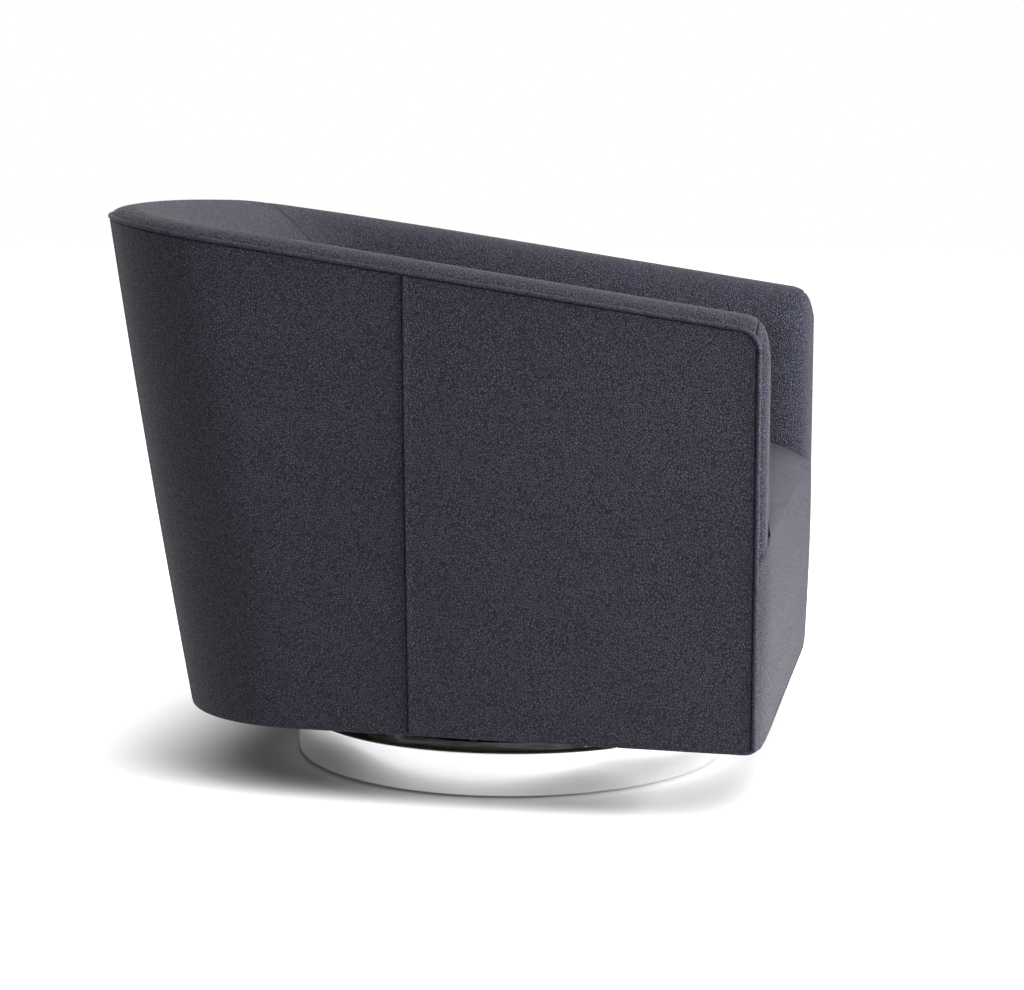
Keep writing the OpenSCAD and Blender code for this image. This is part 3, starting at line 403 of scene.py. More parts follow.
# The frame under the leather: sawn timber rails, posts and blocks, glued and
# screwed, with hardboard bent round the outside and zigzag seat springs in
# clips. Nothing of it shows once the chair is covered.
def wood(name, along, light, dark):
    """Sawn timber with its grain along one axis."""
    made, tree, shader = finish(name, light, 0.62)
    stretch = [1.0, 1.0, 1.0]
    stretch[along] = 0.07
    place = place_on(tree, stretch)
    rings = cloud(tree, place, 70.0, 5.0, 0.65)
    fibres = cloud(tree, place, 520.0, 2.0)
    tree.links.new(blended(tree, ranged(tree, rings, 0.35, 0.66, 0.0, 1.0), light, dark),
                   shader.inputs["Base Color"])
    tree.links.new(ranged(tree, fibres, 0.3, 0.7, 0.52, 0.74), shader.inputs["Roughness"])
    bumped(tree, shader, fibres, 0.0004, 0.5)
    return made


timber_x = wood("timber_across", along=0, light=(0.56, 0.40, 0.23), dark=(0.42, 0.27, 0.14))
timber_y = wood("timber_along", along=1, light=(0.58, 0.42, 0.25), dark=(0.43, 0.29, 0.15))
timber_z = wood("timber_upright", along=2, light=(0.55, 0.39, 0.22), dark=(0.40, 0.26, 0.13))
dressed(["swivel_bearers", "front_rail", "rear_rail", "back_top_rail", "seat_front_rail",
         "seat_rear_rail"], timber_x)
dressed(["left_side_rail", "right_side_rail", "left_top_rail", "right_top_rail",
         "swivel_board"], timber_y)
dressed(["glide_blocks", "corner_blocks", "left_front_post", "right_front_post", "left_arm_posts",
         "right_arm_posts", "back_posts"], timber_z)

hardboard, tree, shader = finish("hardboard", (0.20, 0.12, 0.07), 0.7)
mottled(tree, shader, 220.0, 5.0, (0.24, 0.15, 0.09), (0.15, 0.09, 0.05))
worn(tree, shader, 0.6, 0.8, 60.0)
dressed(["left_side_board", "right_side_board", "back_board"], hardboard)

spring_wire, tree, shader = finish("spring_wire", (0.42, 0.42, 0.43), 0.4, 1.0)
worn(tree, shader, 0.3, 0.52, 150.0)
dressed(["seat_springs"], spring_wire)
dressed(["spring_clips"], black_steel)


# The straps across the back: four lengths of jute webbing, 50 mm wide, pulled
# tight between the back posts and stapled there. The back's foam lies on them.
front_y = -0.380
seam_y = 0.060
seam_place = 0.65
corner_turn = math.radians(80)
hem_z = 0.0925
rim_plan = (0.368, 0.374, 0.190, 0.309)
hem_plan = (0.366, 0.350, 0.195, 0.213)


def side_walk(f, front_half, half, radius, centre_y):
    """The shell's plan at place f: 0 is the left front edge, 1 and 2 the ends of the left rear
    corner, 3 and 4 those of the right one, and 5 the right front edge. The plan is given by its
    half widths at the front and the back, and by the corner's radius and centre."""
    if f > 3:
        x, y = side_walk(5 - f, front_half, half, radius, centre_y)
        return -x, y
    if f <= 1:
        if f <= seam_place:
            y = front_y + (seam_y - front_y) * f / seam_place
        else:
            y = seam_y + (centre_y - seam_y) * (f - seam_place) / (1 - seam_place)
        return -(front_half + (half - front_half) * (y - front_y) / (centre_y - front_y)), y
    if f <= 2:
        a = (f - 1) * corner_turn
        return -(half - radius) - radius * math.cos(a), centre_y + radius * math.sin(a)
    a = corner_turn + (f - 2) * (math.pi - 2 * corner_turn)
    wide = radius + (half - radius) / math.cos(corner_turn)
    return -wide * math.cos(a), centre_y - (wide - radius) * math.sin(corner_turn) + wide * math.sin(a)


def front_place(y):
    """The place of y on the left side, in front of the side seam."""
    return seam_place * (y - front_y) / (seam_y - front_y)


def outward(f):
    """The way out of the shell at place f."""
    if f > 3:
        x, y = outward(5 - f)
        return -x, y
    a = 0.0
    if f > 2:
        a = corner_turn + (f - 2) * (math.pi - 2 * corner_turn)
    elif f > 1:
        a = (f - 1) * corner_turn
    return -math.cos(a), math.sin(a)


def eased(t):
    t = min(max(t, 0.0), 1.0)
    return t * t * (3 - 2 * t)


def between(a, b, t):
    return a + (b - a) * t


def rim_height(y):
    return 0.610 + 0.153 * (y - front_y)


def rim_walk(f):
    return side_walk(f, *rim_plan)


def wall(f, z, inset):
    """A point of the shell's outside at place f and height z, moved in by inset. The boards are
    bowed out by 3 mm."""
    low = side_walk(f, *hem_plan)
    top = rim_walk(f)
    out = outward(f)
    w = (z - hem_z) / (rim_height(top[1]) - hem_z)
    swell = 0.003 * eased(min(f, 5 - f) / 0.5) * 4 * w * (1 - w) - inset
    return Vector((between(low[0], top[0], w) + out[0] * swell,
                   between(low[1], top[1], w) + out[1] * swell, z))


# How far along the shell its places lie, 200 to each unit of f, at arm height.
walk_parts = 200
walk_height = 0.42
walk_table = [0.0]
for step in range(1, 5 * walk_parts + 1):
    here, last = (wall(f / walk_parts, walk_height, 0.0) for f in (step, step - 1))
    walk_table.append(walk_table[-1] + (here - last).length)


def walked(f):
    """How far along the shell place f is, in metres."""
    i = min(int(f * walk_parts), 5 * walk_parts - 1)
    return between(walk_table[i], walk_table[i + 1], f * walk_parts - i)


def place_after(length):
    """The place that lies a length along the shell."""
    i = max(k for k in range(5 * walk_parts) if walk_table[k] <= length)
    return (i + (length - walk_table[i]) / (walk_table[i + 1] - walk_table[i])) / walk_parts


near_edge = (0.0, 0.0004, 0.0009, 0.0015, 0.0023, 0.0034, 0.005, 0.0072, 0.0105)


def close_steps(length, spacing=None, count=None, edges=near_edge):
    """Distances from 0 to length, even in the middle and close together at both ends."""
    middle = length - 2 * edges[-1]
    count = count or max(2, round(middle / spacing))
    inner = [edges[-1] + middle * k / count for k in range(1, count)]
    return list(edges) + inner + [length - e for e in reversed(edges)]


def handed(name, made):
    """The finished piece of a bmesh, smooth, with its faces outwards."""
    bmesh.ops.recalc_face_normals(made, faces=made.faces)
    if made.calc_volume(signed=True) < 0:
        bmesh.ops.reverse_faces(made, faces=made.faces)
    mesh = bpy.data.meshes.new(name)
    made.to_mesh(mesh)
    made.free()
    for p in mesh.polygons:
        p.use_smooth = True
    piece = bpy.data.objects.new(name, mesh)
    scene.collection.objects.link(piece)
    return piece


def skinned(name, outer, inner, keep=None):
    """A closed form between two grids of points, outer seen and inner hidden. keep(i, j) leaves
    cells out."""
    columns, rows = len(outer), len(outer[0])
    kept = [[keep is None or keep(i, j) for j in range(rows - 1)] for i in range(columns - 1)]
    made = bmesh.new()
    index = {}

    def vert(side, i, j):
        key = (side, i, j)
        if key not in index:
            index[key] = made.verts.new((outer, inner)[side][i][j])
        return index[key]

    for i in range(columns - 1):
        for j in range(rows - 1):
            if not kept[i][j]:
                continue
            corners = [(i, j), (i + 1, j), (i + 1, j + 1), (i, j + 1)]
            made.faces.new([vert(0, *c) for c in corners])
            made.faces.new([vert(1, *c) for c in reversed(corners)])
            for k, (di, dj) in enumerate(((0, -1), (1, 0), (0, 1), (-1, 0))):
                ni, nj = i + di, j + dj
                if 0 <= ni < columns - 1 and 0 <= nj < rows - 1 and kept[ni][nj]:
                    continue
                p, q = corners[k], corners[(k + 1) % 4]
                made.faces.new([vert(0, *q), vert(0, *p), vert(1, *p), vert(1, *q)])
    bmesh.ops.remove_doubles(made, verts=made.verts, dist=0.000002)
    return handed(name, made)


def covering(piece, material, slot, *stands_for):
    """Gives a soft piece its material, and has it turn with the shell in place of frame nodes."""
    piece.data.materials.append(material)
    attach(piece, "seat_shell")
    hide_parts(*stands_for)


jute, tree, shader = finish("jute_webbing", (0.34, 0.26, 0.16), 0.85)
weave = tree.nodes.new("ShaderNodeTexWave")
weave.wave_type = "BANDS"
weave.bands_direction = "Z"
weave.inputs["Scale"].default_value = 150.0
weave.inputs["Distortion"].default_value = 1.5
tree.links.new(place_on(tree), weave.inputs["Vector"])
tree.links.new(blended(tree, weave.outputs["Fac"], (0.24, 0.18, 0.11), (0.40, 0.31, 0.20)),
               shader.inputs["Base Color"])
worn(tree, shader, 0.78, 0.92, 90.0)
bumped(tree, shader, weave.outputs["Fac"], 0.0006, 0.8)

strap_width = 0.050
strap_inset = 0.0307
strap_thickness = 0.0015
lowest, highest = 0.422, rim_height(rim_plan[3]) - 0.140
strap_places = [1.9 + 1.2 * i / 40 for i in range(41)]
for k in range(4):
    low = lowest + (highest - lowest) * k / 3
    inside, outside = ([[wall(f, low + strap_width * j / 6, inset + 0.0004 * math.sin(math.pi * j / 6))
                         for j in range(7)] for f in strap_places]
                       for inset in (strap_inset + strap_thickness, strap_inset))
    strap = skinned("back_strap_%d" % (k + 1), inside, outside)
    covering(strap, jute, "webbing", "back_webbing")


# The padding and its leather inside the chair: foam over the top rails and down
# the arms and the back, each under one piece of leather. The three pieces are
# sewn together in two upright seams and to the welt along the outside.
pebble = bpy.data.node_groups.new("pebbled grain", "ShaderNodeTree")
pebble.interface.new_socket(name="Place", in_out="INPUT", socket_type="NodeSocketVector")
for label, value in (("Pebbles per metre", 230.0), ("Unevenness", 0.0028)):
    dial = pebble.interface.new_socket(name=label, in_out="INPUT", socket_type="NodeSocketFloat")
    dial.default_value = value
for label in ("Height", "Crown", "Patches"):
    pebble.interface.new_socket(name=label, in_out="OUTPUT", socket_type="NodeSocketFloat")
grain_in = pebble.nodes.new("NodeGroupInput")
grain_out = pebble.nodes.new("NodeGroupOutput")
on_hide = grain_in.outputs["Place"]
stir = pebble.nodes.new("ShaderNodeTexNoise")
stir.inputs["Scale"].default_value = 120.0
stir.inputs["Detail"].default_value = 2.0
pebble.links.new(on_hide, stir.inputs["Vector"])
centred = pebble.nodes.new("ShaderNodeVectorMath")
centred.operation = "SUBTRACT"
centred.inputs[1].default_value = (0.5, 0.5, 0.5)
pebble.links.new(stir.outputs["Color"], centred.inputs[0])
push = pebble.nodes.new("ShaderNodeVectorMath")
push.operation = "SCALE"
pebble.links.new(centred.outputs[0], push.inputs[0])
pebble.links.new(grain_in.outputs["Unevenness"], push.inputs["Scale"])
stirred = pebble.nodes.new("ShaderNodeVectorMath")
stirred.operation = "ADD"
pebble.links.new(on_hide, stirred.inputs[0])
pebble.links.new(push.outputs[0], stirred.inputs[1])


def cells(scale_by, low, high):
    """Rounded cells of the stirred hide: 0 along their edges, 1 on their crowns."""
    node = pebble.nodes.new("ShaderNodeTexVoronoi")
    node.feature = "DISTANCE_TO_EDGE"
    pebble.links.new(stirred.outputs[0], node.inputs["Vector"])
    per_metre = reckoned(pebble, "MULTIPLY", grain_in.outputs["Pebbles per metre"], scale_by)
    pebble.links.new(per_metre, node.inputs["Scale"])
    return ranged(pebble, node.outputs["Distance"], low, high, 0.0, 1.0, smooth=True)


def summed(first, second, weight):
    return reckoned(pebble, "MULTIPLY_ADD", second, weight, first)


big = cells(1.0, 0.03, 0.27)
small = cells(2.3, 0.0, 0.28)
fine = cloud(pebble, on_hide, 2200.0, 2.0)
swell = cloud(pebble, on_hide, 60.0, 2.0)
pebble.links.new(summed(summed(summed(big, small, 0.30), fine, 0.06), swell, 0.5), grain_out.inputs["Height"])
pebble.links.new(summed(big, small, 0.12), grain_out.inputs["Crown"])
pebble.links.new(cloud(pebble, on_hide, 7.0, 3.0), grain_out.inputs["Patches"])


def hide(name, per_metre, depth, crease, crown, crease_rough, crown_rough):
    """Dyed leather: how many pebbles to the metre, how deep, and the colour and the roughness in the
    creases and on the crowns. The crease colour, much darker than the crowns, is painted shade in
    the grain's hollows."""
    made, tree, shader = finish(name, crown, crown_rough)
    grain = tree.nodes.new("ShaderNodeGroup")
    grain.node_tree = pebble
    grain.inputs["Pebbles per metre"].default_value = per_metre
    where = tree.nodes.new("ShaderNodeTexCoord")
    tree.links.new(where.outputs["Object"], grain.inputs["Place"])
    faded = tuple(c * 1.12 for c in crown)
    crowns = blended(tree, ranged(tree, grain.outputs["Patches"], 0.35, 0.75, 0.0, 1.0), crown, faded)
    # Going dark into the creases is painted shade in the hollows of the grain.
    dye_and_crease_shade = blended(tree, ranged(tree, grain.outputs["Crown"], 0.0, 1.0, 0.0, 1.0), crease, crowns)
    tree.links.new(dye_and_crease_shade, shader.inputs["Base Color"])
    tree.links.new(ranged(tree, grain.outputs["Crown"], 0.0, 1.2, crease_rough, crown_rough),
                   shader.inputs["Roughness"])
    bumped(tree, shader, grain.outputs["Height"], depth)
    shader.inputs["Specular IOR Level"].default_value = 0.20
    return made


# The near-black crease colour is painted shade in the pebbles' hollows.
leather = hide("navy_leather", per_metre=300.0, depth=0.0021, crease=(0.007, 0.007, 0.012),
               crown=(0.068, 0.068, 0.106), crease_rough=0.50, crown_rough=0.38)

rim_corner = 0.022
inside_half = 0.268
inside_radius = 0.090
inside_y = 0.125
crest_inset = 0.034
side_drop = 0.062
left_inside_seam, right_inside_seam = 1.7, 3.3


def rolled(d, radius):
    """How far a surface sinks at a distance d from an edge that is turned in with a radius."""
    if d >= radius:
        return 0.0
    return radius - math.sqrt(max(0.0, radius * radius - (radius - max(d, 0.0)) ** 2))


def corner_fall(y, inset):
    """How far an edge inside the rim has come down where the rim turns into the front edge."""
    return rolled(y - front_y - inset, rim_corner - inset)


def roll_point(f, inset, lift):
    """A point of the padded roll, which comes down in a wider corner at its crest than at the
    welt."""
    y = rim_walk(f)[1]
    fall = between(corner_fall(y, -0.003), corner_fall(y, -0.011), eased(inset / crest_inset))
    return wall(f, rim_height(y) - fall + lift, inset)


def backness(f):
    """0 along the arms and 1 along the back."""
    return eased((min(f, 5 - f) - 0.75) / 0.75)


def inside_walk(f, tuck):
    return side_walk(f, inside_half + tuck, inside_half + tuck, inside_radius + tuck, inside_y)


def pad_face(f, tuck, fold=0.0, foot_z=0.382):
    """From the welt over the padded roll, down inside the chair to below the seat. fold is how
    far the inside has turned away towards the front edge of the arm."""
    b = backness(f)
    foot_wall = wall(min(f, 1) if f <= 2.5 else max(f, 4), rim_height(rim_walk(f)[1]) - side_drop, 0.0)
    reach = between(abs(foot_wall.x) - inside_half - crest_inset, 0.128, b) - fold
    drop = between(side_drop, 0.100, b)
    crest = between(0.0205, 0.0165, b)
    bend = between(1.0, 1.5, b)
    first = math.asin(0.0052 / (crest - min(tuck, 0.004)))
    face = []
    for k in range(11):
        a = between(first, math.pi / 2, k / 10)
        face.append(roll_point(f, crest_inset - (crest_inset - tuck) * math.cos(a),
                               (crest - tuck) * math.sin(a)))
    for k in range(1, 21):
        a = math.pi / 2 * (1 - k / 20)
        face.append(roll_point(f, crest_inset + (reach - tuck) * math.cos(a) ** bend,
                               crest - drop + (drop - tuck) * math.sin(a) ** bend))
    knee = face[-1]
    foot = Vector((*inside_walk(f, tuck + fold), foot_z))
    out = Vector((*outward(f), 0.0))
    for k in range(1, 25):
        t = k / 24
        face.append(knee.lerp(foot, t) - out * (0.010 * b * math.sin(math.pi * t)))
    return face


def pad_back(f):
    """The hidden side of the same pad, over the top rail and down past the posts."""
    b = backness(f)
    rail = [(0.010, 0.0005), (0.018, -0.0032), (0.030, -0.0037), (0.0463, -0.0037),
            (0.0475 + 0.004 * b, -0.012), (0.0475 + 0.004 * b, -0.044)]
    side = [roll_point(f, *q) for q in rail]
    below_rail = side[-1].z - 0.01
    return side + [wall(f, min(z, below_rail), 0.034) for z in (0.52, 0.44, 0.36, 0.300)]


def evened(path, count):
    """count points evenly along a path of straight lines."""
    lengths = [0.0]
    for p, q in zip(path, path[1:]):
        lengths.append(lengths[-1] + (q - p).length)
    points, i = [], 0
    for k in range(count):
        at = lengths[-1] * k / (count - 1)
        while i < len(path) - 2 and lengths[i + 1] < at:
            i += 1
        share = min(1.0, (at - lengths[i]) / (lengths[i + 1] - lengths[i]))
        points.append(path[i].lerp(path[i + 1], share))
    return points


def pad_ring(f, tuck, fold=0.0):
    face = pad_face(f, tuck, fold)
    foot = face[-1]
    below = [Vector((foot.x, foot.y, z)) for z in (0.340, 0.300)]
    return face + below + evened(list(reversed(pad_back(f))), 40)


def pad_rings(f0, f1, seam0, seam1):
    """Rings of a pad from place f0 to f1. Each end is turned in by its seam's radius, and a seam
    also pulls the leather in a little beside it. Without a first seam the pad has begun already."""
    start, length = walked(f0), walked(f1) - walked(f0)
    rings = []
    for d in close_steps(length, spacing=0.0065):
        if not seam0 and d < near_edge[-1]:
            continue
        ends = ((seam0, d), (seam1, length - d))
        tuck = rolled(d, seam0) + rolled(length - d, seam1)
        tuck += sum(0.0006 * math.exp(-away / 0.012) for seam, away in ends if seam)
        rings.append(pad_ring(place_after(start + d), tuck))
    return rings


# The two arm pads and the back pad. An arm's leather comes round to its front,
# is rounded back at the outer and upper edges and rests on the apron. The mitre
# at the top is sewn inside: a short dart that dies out down the inner side.
front_face = -0.3912
tuck_start, tuck_run = -0.3798, 0.0112
fold_start, fold_run = -0.340, 0.051
post_front = -0.3718
crease_low, crease_high = 0.331, 0.366
dart_y = -0.3765


def front_fold(y):
    """How far the inside of an arm has turned outwards where it comes round to the front."""
    t = min(max((fold_start - y) / fold_run, 0.0), 1.0)
    return 0.047 * (1 - (1 - t ** 2.5) ** 0.4)


def crease_height(x):
    """The lower edge of an arm's front, where it rests on the apron."""
    t = min(max((abs(x) - 0.300) / 0.066, 0.0), 1.1)
    return between(crease_high, crease_low, t ** 1.4)


def front_tuck(y):
    """How far the outer and upper edges of an arm's front are rounded back at y."""
    t = min(max((tuck_start - y) / tuck_run, 0.0), 1.0)
    return 0.0175 * (1 - math.sqrt(1 - t * t))


def front_ring(y, tuck):
    """A ring of an arm in front of the post: its face, the crease at the bottom, and the side
    that lies against the welt."""
    f = front_place(y)
    lift = 0.0004 + min(0.15 * tuck, 0.002)
    beside_welt = 0.0040 + tuck
    inner_x = -inside_half - tuck - front_fold(y)
    face = pad_face(f, tuck, front_fold(y), crease_height(inner_x) + lift)
    low_x = wall(f, 0.334, beside_welt).x
    under = [face[-1]]
    for k in range(1, 17):
        x = between(inner_x, low_x, k / 16)
        under.append(Vector((x, y, crease_height(x) + lift)))
    low_z = under[-1].z
    high_z = min(rim_height(y) - corner_fall(y, -0.003) + 0.0051 - tuck / 2, face[10].z - 0.0006)
    for k in range(1, 31):
        z = between(low_z, high_z, k / 30)
        under.append(Vector((wall(f, z, beside_welt).x, y, z)))
    return face + evened(under, 43)[1:]


def plain_ring(y):
    """A ring of an arm near its front, without the dart."""
    if y < post_front:
        return front_ring(y, front_tuck(y))
    return pad_ring(front_place(y), 0.0, front_fold(y))


fine_step = 0.0004
fine_rings = [plain_ring(front_face + fine_step * k) for k in range(151)]


def dart_lean(k):
    """How far back the ring leans at its point k, to run along the dart."""
    if k < 10:
        return 0.0
    return 0.0105 * (eased((k - 10) / 8) if k <= 18 else 1 - eased((k - 18) / 16))


def dart_mark(k):
    """How deep the dart is at point k of a ring."""
    if k < 3:
        return k / 3
    return 1 - eased((k - 14) / 6)


def arm_ring(y):
    """A ring of an arm near its front, with the dart's lean, groove and lifted edge."""
    lean = eased((y + 0.391) / 0.0145) if y < dart_y else 1 - eased((y - dart_y) / 0.034)
    core = roll_point(front_place(y), crest_inset, -0.020)
    off = y - dart_y
    groove = 0.0032 * math.exp(-(off / 0.0008) ** 2)
    lifted = 0.0015 * math.exp(-off / 0.006) if off > 0 else 0.0
    ring = []
    for k, p in enumerate(plain_ring(y)):
        here = dart_lean(k) * lean
        if here > 0.00001:
            i = (y + here - front_face) / fine_step
            p = fine_rings[int(i)][k].lerp(fine_rings[int(i) + 1][k], i - int(i))
        mark = dart_mark(k)
        ring.append(p + (core - p).normalized() * (mark * (groove - lifted)) if mark else p)
    return ring


def ringed(name, rings):
    """A closed form through rings of points, capped at both ends."""
    made = bmesh.new()
    loops = [[made.verts.new(p) for p in ring] for ring in rings]
    count = len(loops[0])
    for a, b in zip(loops, loops[1:]):
        for k in range(count):
            m = (k + 1) % count
            made.faces.new([a[k], a[m], b[m], b[k]])
    made.faces.new(loops[0])
    made.faces.new(loops[-1])
    return handed(name, made)


def mirrored(points):
    return [Vector((-p.x, p.y, p.z)) for p in points]


front_caps = [(front_face, 0.0225), (-0.3911, 0.0200)]
arm_ys = [tuck_start - tuck_run * math.sin(math.radians(7.5 * k)) for k in range(12, 0, -1)]
arm_ys += [-0.3798, -0.3790, -0.3782, -0.3777, -0.3773, -0.3770, -0.37675, -0.3765, -0.37625, -0.3760,
           -0.3757, -0.3753, -0.3748, -0.3740, -0.3730, -0.3720, -0.3716, -0.3700, -0.3680, -0.3655,
           -0.3630, -0.3600, -0.3570, -0.3535, -0.3500, -0.3460, -0.3420, -0.3375, -0.3325]
left_arm = [front_ring(y, tuck) for y, tuck in front_caps] + [arm_ring(y) for y in arm_ys]
left_arm += pad_rings(front_place(-0.3395), left_inside_seam, 0.0, 0.0040)
for side, rings in (("left", left_arm), ("right", [mirrored(ring) for ring in left_arm])):
    arm_pad = ringed(side + "_arm_pad", rings)
    covering(arm_pad, leather, "navy_leather", side + "_inside_arm_leather", side + "_arm_foam",
             side + "_arm_front_leather", side + "_arm_front_foam")

back_pad = ringed("back_pad", pad_rings(left_inside_seam, right_inside_seam, 0.0034, 0.0034))
covering(back_pad, leather, "navy_leather", "inside_back_leather", "back_foam")


# The outside leather: five flat-cut panels, 1.7 mm thick, pulled tight over the
# boards. The upright side seam is turned to the front and pressed down, so the
# front panel stands up in a narrow strip beside it.
panel_foot = 0.0955
panel_front = -0.3778
panel_thickness = 0.0017
panel_corner = 0.0198
tongue = 0.0016
side_seam = (0.6494, 0.6506)
rear_seam = (1.7475, 1.7525)
end_corner = 0.006
corner_y = front_y + rim_corner
corner_drop = 0.019


def strip_height(reach):
    """How far the strip beside the side seam stands up at a distance from the seam."""
    return 0.0025 * eased(reach / 0.0020) * (1 - min(1.0, max(0.0, reach - 0.0020) / 0.0070))


def panel_grids(f0, f1, edge0, edge1, strip):
    """Both faces of an outside panel. edge0 and edge1 are what its ends are: the front edge, a
    turned or rounded edge, or a tongue that lies under the next panel."""
    start, length = walked(f0), walked(f1) - walked(f0)
    steps = close_steps(length, spacing=0.0075)
    flat0 = flat1 = 0.0
    if edge0 == "tongue":
        steps = [-tongue] + steps
        flat0 = 0.0004
    if edge1 == "tongue":
        steps = steps + [length + tongue]
        flat1 = 0.0004
    front, back = [], []
    for d in steps:
        f = place_after(min(max(start + d, 0.0), walk_table[-1] - 0.000001))
        reach = length - d
        y = rim_walk(f)[1]
        high = rim_height(y) + 0.0008
        if edge0 == "front":
            high -= corner_fall(y, 0.0022)
        elif edge1 == "rounded":
            high -= rolled(reach, end_corner)
        corner_z = rim_height(y) - corner_drop
        column_out, column_in = [], []
        for e in close_steps(high - panel_foot, count=62):
            z = panel_foot + e
            gap = min(high - z, e * 1.4, d + flat0, reach + flat1)
            if edge0 == "front" and y < corner_y and z > corner_z:
                gap = min(gap, panel_corner - math.hypot(y - corner_y, z - corner_z))
            sink = rolled(gap, 0.0018)
            if strip:
                sink -= strip_height(reach)
            column_out.append(wall(f, z, sink))
            column_in.append(wall(f, z, max(sink, 0.0) + panel_thickness))
        front.append(column_out)
        back.append(column_in)
    return front, back


def outside_panel(name, places, edges, node, strip=False):
    front, back = panel_grids(*places, *edges, strip)
    if name.startswith("right"):
        front, back = ([mirrored(column) for column in grid] for grid in (front, back))
    panel = skinned(name, front, back)
    covering(panel, leather, "navy_leather", node)


for side in ("left", "right"):
    outside_panel(side + "_front_panel", (front_place(panel_front), side_seam[0]), ("front", "turned"),
                  side + "_side_front_leather",
                  strip=True)
    outside_panel(side + "_rear_panel", (side_seam[1], rear_seam[0]), ("tongue", "rounded"),
                  side + "_side_rear_leather")
outside_panel("outside_back", (rear_seam[1], 5 - rear_seam[1]), ("tongue", "tongue"),
              "outside_back_leather")


# The welt: a thin cord in its own strip of leather, sewn between the outside
# panels and the padding. It runs round the rim and down both front edges.
welt_foot = 0.0978
welt_front = -0.3812
welt_inset = 0.0017
welt_rise = 0.0042
welt_corner = 0.0232
middle_place = 2.5
upwards = Vector((0.0, 0.0, 1.0))


def tube(name, run, radius, sides=14):
    """A cord through a run of points, each with a mark to the side where its ring starts."""
    rings = []
    for i, (p, mark) in enumerate(run):
        along = (run[min(i + 1, len(run) - 1)][0] - run[max(i - 1, 0)][0]).normalized()
        first = (mark - along * mark.dot(along)).normalized()
        second = along.cross(first)
        turns = [2 * math.pi * k / sides for k in range(sides)]
        rings.append([p + (first * math.cos(a) + second * math.sin(a)) * radius for a in turns])
    return ringed(name, rings)


left_run = []
for k in range(46):
    z = between(welt_foot, rim_height(corner_y) - corner_drop, k / 45)
    left_run.append((wall(front_place(welt_front), z, welt_inset), Vector((0.0, -1.0, 0.0))))
for k in range(1, 12):
    a = math.radians(90 * k / 12)
    y = corner_y - welt_corner * math.cos(a)
    z = rim_height(y) - corner_drop + welt_corner * math.sin(a)
    left_run.append((wall(front_place(y), z, welt_inset), Vector((0.0, -math.cos(a), math.sin(a)))))
for k in range(221):
    f = place_after(between(walked(front_place(corner_y)), walked(middle_place), k / 220))
    left_run.append((wall(f, rim_height(rim_walk(f)[1]) + welt_rise, welt_inset), upwards))
run = left_run + [(Vector((-p.x, p.y, p.z)), mark) for p, mark in reversed(left_run[:-1])]
welt = tube("top_cord", run, radius=0.0031)
# The near-black crease colour is painted shade in the pebbles' hollows.
piping = hide("piping_leather", per_metre=360.0, depth=0.0006, crease=(0.010, 0.010, 0.016),
              crown=(0.062, 0.062, 0.100), crease_rough=0.50, crown_rough=0.40)
covering(welt, piping, "navy_leather", "top_welt")


# The seat: springy foam on zigzag springs, under one piece of leather that runs
# on over the front and down as the apron, and out under both arm fronts.
seat_top = 0.4085
seat_rear = 0.214
edge_z = 0.362
edge_rise = 0.0465
edge_depth = 0.094
seat_half = 0.2676
arm_half = 0.2685
arm_front = -0.3907
arm_width = 0.094
crease_end = 0.362
apron_foot = 0.0968
apron_back = -0.3724
turned_edge = 0.0016
rail_front = -0.3720
seat_underside = 0.307
seat_rows = 77


def apron_y(x, z):
    """The apron's face, which bulges forward by 15 mm in the middle."""
    around = 0.55 + 0.45 * math.sin(math.pi * min(max((z - hem_z) / 0.440, 0.0), 1.0))
    return -0.381 - 0.015 * (1 - min(abs(x) / 0.368, 1.0) ** 13) * around


def outer_share(x):
    """How much of the arm's turn outwards the seat follows at x: none in the middle."""
    return eased((abs(x) - 0.150) / 0.1176)


def spread_out(x, y):
    """The seat's edge follows the arm where that turns outwards at the front."""
    y = max(y, arm_front)
    return x + math.copysign((front_fold(y) + front_tuck(y)) * outer_share(x), x)


def seat_column(x):
    """From the back of the seat over its front edge, down to the crease."""
    crown = 0.019 * (1 - min(1.0, abs(x) / inside_half) ** 2.4)
    yc = apron_y(spread_out(x, arm_front), edge_z) + edge_depth
    rear = seat_rear
    past_straight = abs(x) - (inside_half - inside_radius)
    if past_straight > 0:
        rear = inside_y + math.sqrt(max(0.0, inside_radius ** 2 - past_straight ** 2)) - 0.001
    points = []
    for k in range(61):
        t = k / 60
        y = between(rear, yc, t)
        z = seat_top + crown - 0.012 * (1 - t) - 0.026 * (1 - t) ** 6
        points.append(Vector((spread_out(x, y), y, z)))
    for k in range(1, 17):
        a = math.radians(90 * (1 - k / 16))
        y = yc - edge_depth * math.cos(a)
        points.append(Vector((spread_out(x, y), y, edge_z + (edge_rise + crown) * math.sin(a))))
    return points


def apron_column(x, share=None):
    """From the crease down to the hem, at x, or at a share of the way out from the arm's inside on
    the side that x lies on."""
    corner = math.copysign(seat_half, x)
    spread = spread_out(corner, arm_front) - corner
    top = edge_z
    if share is not None:
        top = crease_height(between(arm_half + abs(spread), crease_end, share)) - 0.0004
    points = []
    for k in range(49):
        z = between(top, apron_foot, k / 48)
        fan = eased(1 - (crease_high - z) / 0.110)
        if share is None:
            here = x + spread * fan * outer_share(x)
        else:
            edge = -wall(0.0, z, 0.0048).x
            here = math.copysign(between(arm_half + abs(spread) * fan, edge, share), x)
        points.append(Vector((here, apron_y(here, z) + rolled(z - apron_foot, turned_edge), z)))
    return points


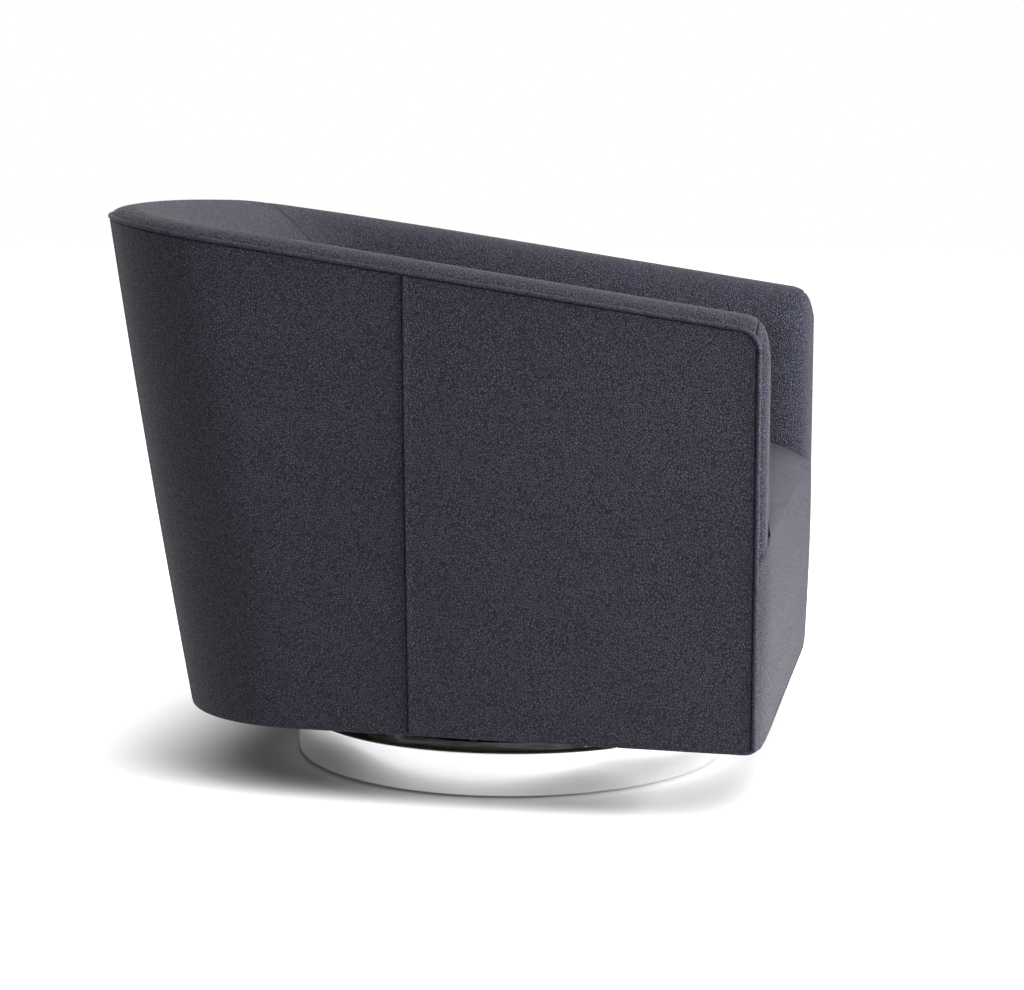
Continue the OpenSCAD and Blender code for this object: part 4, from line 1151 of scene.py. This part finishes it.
def middle_column(d):
    """Both faces of the seat and the apron, at a distance d from the left arm."""
    x = -seat_half + d
    face = seat_column(x)
    for p in face:
        p.z -= rolled(min(d, 2 * seat_half - d), 0.005) * eased((p.z - edge_z) / 0.03)
    apron = apron_column(x)
    under = [Vector((x, max(p.y, rail_front), seat_underside)) for p in face]
    apron_in = [Vector((p.x, apron_back, min(p.z, seat_underside))) for p in apron]
    return face + apron[1:], under + apron_in[1:]


def end_column(side, share):
    """Both faces of the apron under an arm's front, -1 the left and 1 the right one. The seat's rows
    are all one point there."""
    apron = apron_column(side, share)
    sink = rolled((1 - share) * arm_width, turned_edge)
    top_z = apron[0].z
    for p in apron:
        p.y += rolled(top_z - p.z, 0.0022) * min(1.0, share / 0.12) + sink
    apron_in = [Vector((p.x, apron_back, p.z)) for p in apron]
    return [apron[0]] * seat_rows + apron[1:], [apron_in[0]] * seat_rows + apron_in[1:]


near_arm = (0.0, 0.0005, 0.0012, 0.0022, 0.0036, 0.0055, 0.008, 0.011, 0.015)
ds = close_steps(2 * seat_half, spacing=0.0085, edges=near_arm)
shares = [1.0, 0.995, 0.985, 0.97, 0.94, 0.9] + [0.8 - 0.1 * k for k in range(8)] + [0.05, 0.02]
columns = [end_column(-1, share) for share in shares]
columns += [middle_column(d) for d in ds]
columns += [end_column(1, share) for share in reversed(shares)]


def covered(i, j):
    """The seat lies between the arms, and the apron runs the whole width."""
    return j >= seat_rows - 1 or len(shares) <= i < len(shares) + len(ds) - 1


seat = skinned("seat_and_apron", [top for top, under in columns], [under for top, under in columns], covered)
covering(seat, leather, "navy_leather", "seat_leather", "seat_foam", "apron_foam")


# The hem: the lower edge of all the outside leather, rolled over a thin cord
# and stapled under the bottom rails.
cord_z = 0.095
left_hem = [Vector((-x, apron_y(x, welt_foot) + 0.0029, cord_z))
            for x in (0.0, 0.06, 0.12, 0.18, 0.24, 0.29, 0.33)]
bend = Vector((-0.3515, -0.3660, cord_z))
for k in range(9):
    a = math.radians(90 - 90 * k / 8)
    left_hem.append(Vector((bend.x - 0.0118 * math.cos(a), bend.y - 0.0125 * math.sin(a), cord_z)))
for k in range(121):
    f = place_after(between(walked(front_place(-0.360)), walked(middle_place), k / 120))
    left_hem.append(wall(f, cord_z, 0.0027))
path = left_hem + mirrored(reversed(left_hem[1:-1])) + left_hem[:1]
hem = tube("hem_roll_cord", [(p, upwards) for p in path], radius=0.0025, sides=10)
covering(hem, piping, "navy_leather", "hem_roll")


# The dust cover: thin black cloth stapled under the frame, with a hole round
# the swivel. It sags a little between the staples.
cover_cloth, tree, shader = finish("cover_cloth", (0.012, 0.012, 0.013), 0.9)
threads = cloud(tree, place_on(tree), 800.0, 3.0)
tree.links.new(blended(tree, threads, (0.008, 0.008, 0.009), (0.022, 0.022, 0.023)),
               shader.inputs["Base Color"])
worn(tree, shader, 0.82, 0.95, 200.0)
bumped(tree, shader, threads, 0.0003, 0.8)

cover_z = 0.0955
cover_low, cover_high = 0.0952, 0.0959
cover_half = 0.355
cover_front = -0.3715
hole_radius = 0.216
first_place = front_place(-0.372)
outline = [wall(first_place + (5 - 2 * first_place) * k / 120, cover_z, 0.0064) for k in range(121)]
outline += [Vector((cover_half - 2 * cover_half * k / 24, cover_front, cover_z)) for k in range(1, 24)]
lower, upper = [], []
for p in outline + outline[:1]:
    way = math.atan2(p.y, p.x)
    hole = Vector((hole_radius * math.cos(way), hole_radius * math.sin(way), cover_z))
    down, up = [], []
    for k in range(9):
        q = hole.lerp(p, k / 8)
        sag = 0.0016 * math.sin(math.pi * k / 8) * (1 + 0.3 * math.sin(way * 24))
        down.append(Vector((q.x, q.y, cover_low - sag)))
        up.append(Vector((q.x, q.y, cover_high - sag)))
    lower.append(down)
    upper.append(up)
cover = skinned("bottom_cover", lower, upper)
covering(cover, cover_cloth, "black_cloth", "dust_cover")


# The sizes of what is shown, without the backdrop.
low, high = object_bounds()
